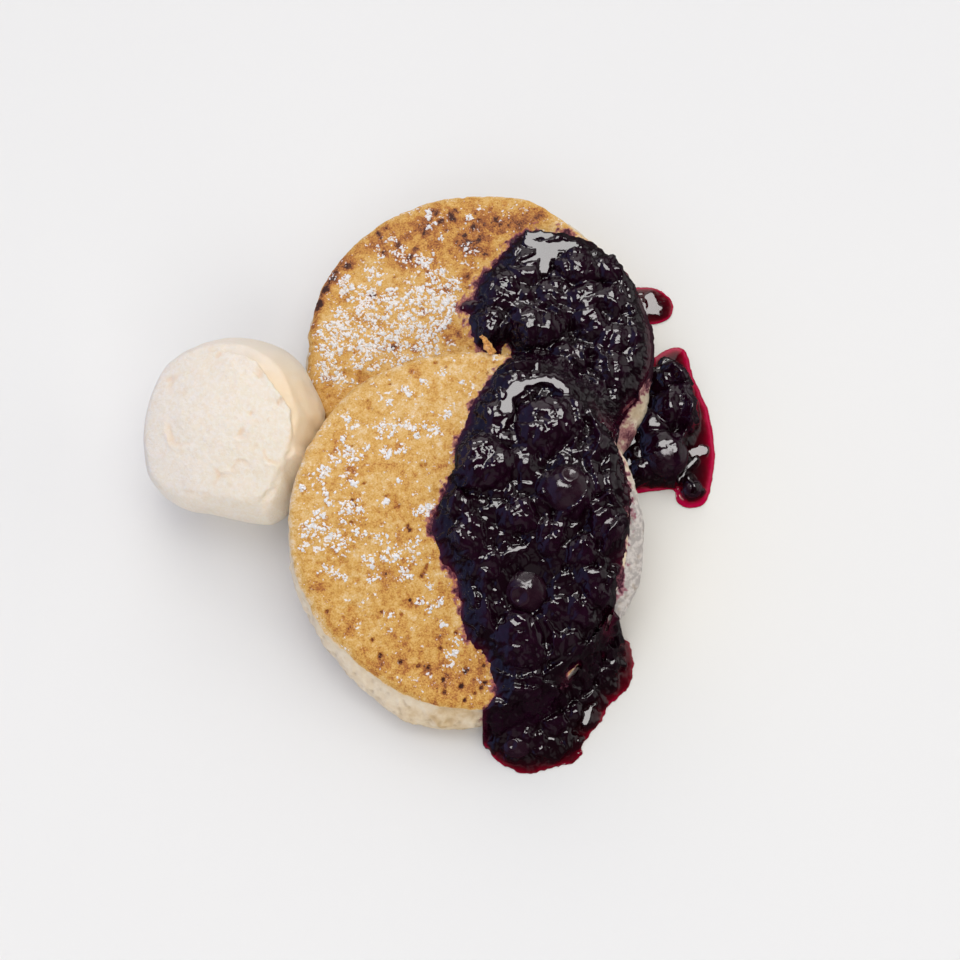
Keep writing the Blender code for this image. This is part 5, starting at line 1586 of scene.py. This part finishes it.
# Lights: name, way to it, distance (m), size (m), radiance, colour, and whether it lights matt
# surfaces and shows in glossy ones.
LIGHTS = (
    ("soft_box", (0.0, 0.342, 0.94), 1.2, (0.80, 0.58), 17.0, (1.0, 0.985, 0.97), False, True),
    ("key", (0.05, 0.3, 0.94), 1.2, (1.3, 1.1), 1.27, (1.0, 0.98, 0.945), True, False),
    ("overhead", (-0.1, -0.35, 1.0), 1.6, (2.4, 2.4), 0.72, (1.0, 0.98, 0.94), True, False),
    ("front", (-0.2, -1.0, 0.6), 1.5, (1.7, 1.3), 1.02, (1.0, 0.98, 0.945), True, False),
    ("side", (1.0, -0.1, 0.5), 1.6, (1.6, 1.2), 0.6, (1.0, 0.99, 0.97), True, False),
)


def aim_point():
    """Where the camera and the lights point."""
    return Vector(tuple((np.array(AIM_FROM_BACK_CENTRE) + SHIFT) * MM))


def face_towards(made, target):
    made.rotation_euler = (target - made.location).to_track_quat("-Z", "Y").to_euler()


def add_camera():
    """The photo's camera."""
    data = bpy.data.cameras.new("view")
    data.sensor_width = SENSOR
    data.lens = SENSOR * VIEW_DISTANCE / FRAME_WIDTH
    data.clip_start, data.clip_end = 0.01, 10.0
    camera = bpy.data.objects.new("view", data)
    bpy.context.scene.collection.objects.link(camera)
    rise = math.radians(VIEW_HEIGHT_DEG)
    camera.location = aim_point() + Vector((0, -math.cos(rise), math.sin(rise))) * VIEW_DISTANCE
    face_towards(camera, aim_point())
    bpy.context.scene.camera = camera


def add_panel(name, way, distance, size, radiance, colour):
    """A soft box of the given radiance that faces the serving."""
    data = bpy.data.lights.new(name, "AREA")
    data.shape, data.size, data.size_y = "RECTANGLE", *size
    data.energy = radiance * math.pi * size[0] * size[1]
    data.color = colour
    light = bpy.data.objects.new(name, data)
    bpy.context.scene.collection.objects.link(light)
    light.location = aim_point() + Vector(way).normalized() * distance
    face_towards(light, aim_point())
    return light


def add_lights():
    """A soft box that level wet surfaces mirror towards the camera, and soft light for the rest."""
    for name, way, distance, size, radiance, colour, on_matt, on_glossy in LIGHTS:
        light = add_panel(name, way, distance, size, radiance, colour)
        light.visible_diffuse, light.visible_glossy = on_matt, on_glossy


ROOM = (                     # what surrounds the serving: direction, spread (cosines), colour
    ((-0.1, 0.89, 0.45), (0.84, 0.95), (1.55, 1.49, 1.49)),
    ((0.0, -0.85, 0.5), (0.82, 0.96), (0.34, 0.32, 0.33)),
    ((1.0, 0.35, 0.15), (0.72, 0.96), (0.76, 0.76, 0.75)),
    ((-1.0, 0.1, 0.25), (0.5, 0.9), (0.19, 0.29, 0.68)),
)
ROOM_DARK = (0.065, 0.06, 0.062)


def add_surroundings():
    """A dark room: bright beyond the serving, dim on the camera's side, pale right, bluish left."""
    world = bpy.data.worlds.new("room")
    bpy.context.scene.world = world
    world.use_nodes = True
    tree = world.node_tree
    tree.nodes.clear()
    place = tree.nodes.new("ShaderNodeTexCoord")
    unit = tree.nodes.new("ShaderNodeVectorMath")
    unit.operation = "NORMALIZE"
    tree.links.new(place.outputs["Generated"], unit.inputs[0])
    total = None
    for way, (low, high), colour in ROOM:
        towards = tree.nodes.new("ShaderNodeVectorMath")
        towards.operation = "DOT_PRODUCT"
        tree.links.new(unit.outputs[0], towards.inputs[0])
        towards.inputs[1].default_value = Vector(way).normalized()
        span = tree.nodes.new("ShaderNodeMapRange")
        span.interpolation_type = "SMOOTHSTEP"
        tree.links.new(towards.outputs["Value"], span.inputs["Value"])
        span.inputs["From Min"].default_value, span.inputs["From Max"].default_value = low, high
        add = tree.nodes.new("ShaderNodeMix")
        add.data_type, add.blend_type = "RGBA", "ADD"
        tree.links.new(span.outputs["Result"], add.inputs[0])
        if total is None:
            add.inputs[6].default_value = (*ROOM_DARK, 1.0)
        else:
            tree.links.new(total, add.inputs[6])
        add.inputs[7].default_value = (*colour, 1.0)
        total = add.outputs[2]
    back = tree.nodes.new("ShaderNodeBackground")
    output = tree.nodes.new("ShaderNodeOutputWorld")
    tree.links.new(total, back.inputs["Color"])
    tree.links.new(back.outputs[0], output.inputs["Surface"])


def add_floor():
    """A pale floor that the sauce doesn't mirror, so that its edges stay as dark as in the photo."""
    mesh = bpy.data.meshes.new("floor")
    reach = FLOOR_REACH
    mesh.from_pydata([(-reach, -reach, 0), (reach, -reach, 0), (reach, reach, 0), (-reach, reach, 0)], [],
                     [(0, 1, 2, 3)])
    mesh.materials.append(floor_look())
    floor = bpy.data.objects.new("floor", mesh)
    floor.location.z = -FLOOR_DROP
    floor.visible_glossy = False
    bpy.context.scene.collection.objects.link(floor)


# ---------------------------------------------------------------- the serving
bpy.context.scene.view_settings.view_transform = "Standard"
add_camera()
add_lights()
add_surroundings()
add_floor()

crumpet_material, sauce_material = crumpet_look(), sauce_look()
back_piece = make_crumpet("back_crumpet", "crumpet_back", BACK, back_browning, BACK_CHAR, BACK_DENTS, (),
                          BACK_SUGAR, crumpet_material)
front_piece = make_crumpet("front_crumpet", "crumpet_front", FRONT, front_browning, (), FRONT_DENTS,
                           FRONT_HOLES, FRONT_SUGAR, crumpet_material)
for cake_piece in (back_piece, front_piece):
    cake_piece.visible_glossy = False    # not mirrored by the sauce, like the floor
compote_piece = make_sauce("berry_compote", "compote", COMPOTE_CORNERS, "compote", sauce_material)
pool_piece = make_sauce("right_pool", "compote_right", (RIGHT_POOL,), "right", sauce_material)
make_sauce("syrup", "syrup_drop", (SYRUP_DROP,), "drop", sauce_material)
make_berries((compote_piece, pool_piece), berry_look())
make_scoop(ice_cream_look())
make_sugar(back_piece, front_piece, sugar_look())
flake_material = flake_look()
make_flake(flake_material)
make_crumbs((back_piece, front_piece), flake_material)
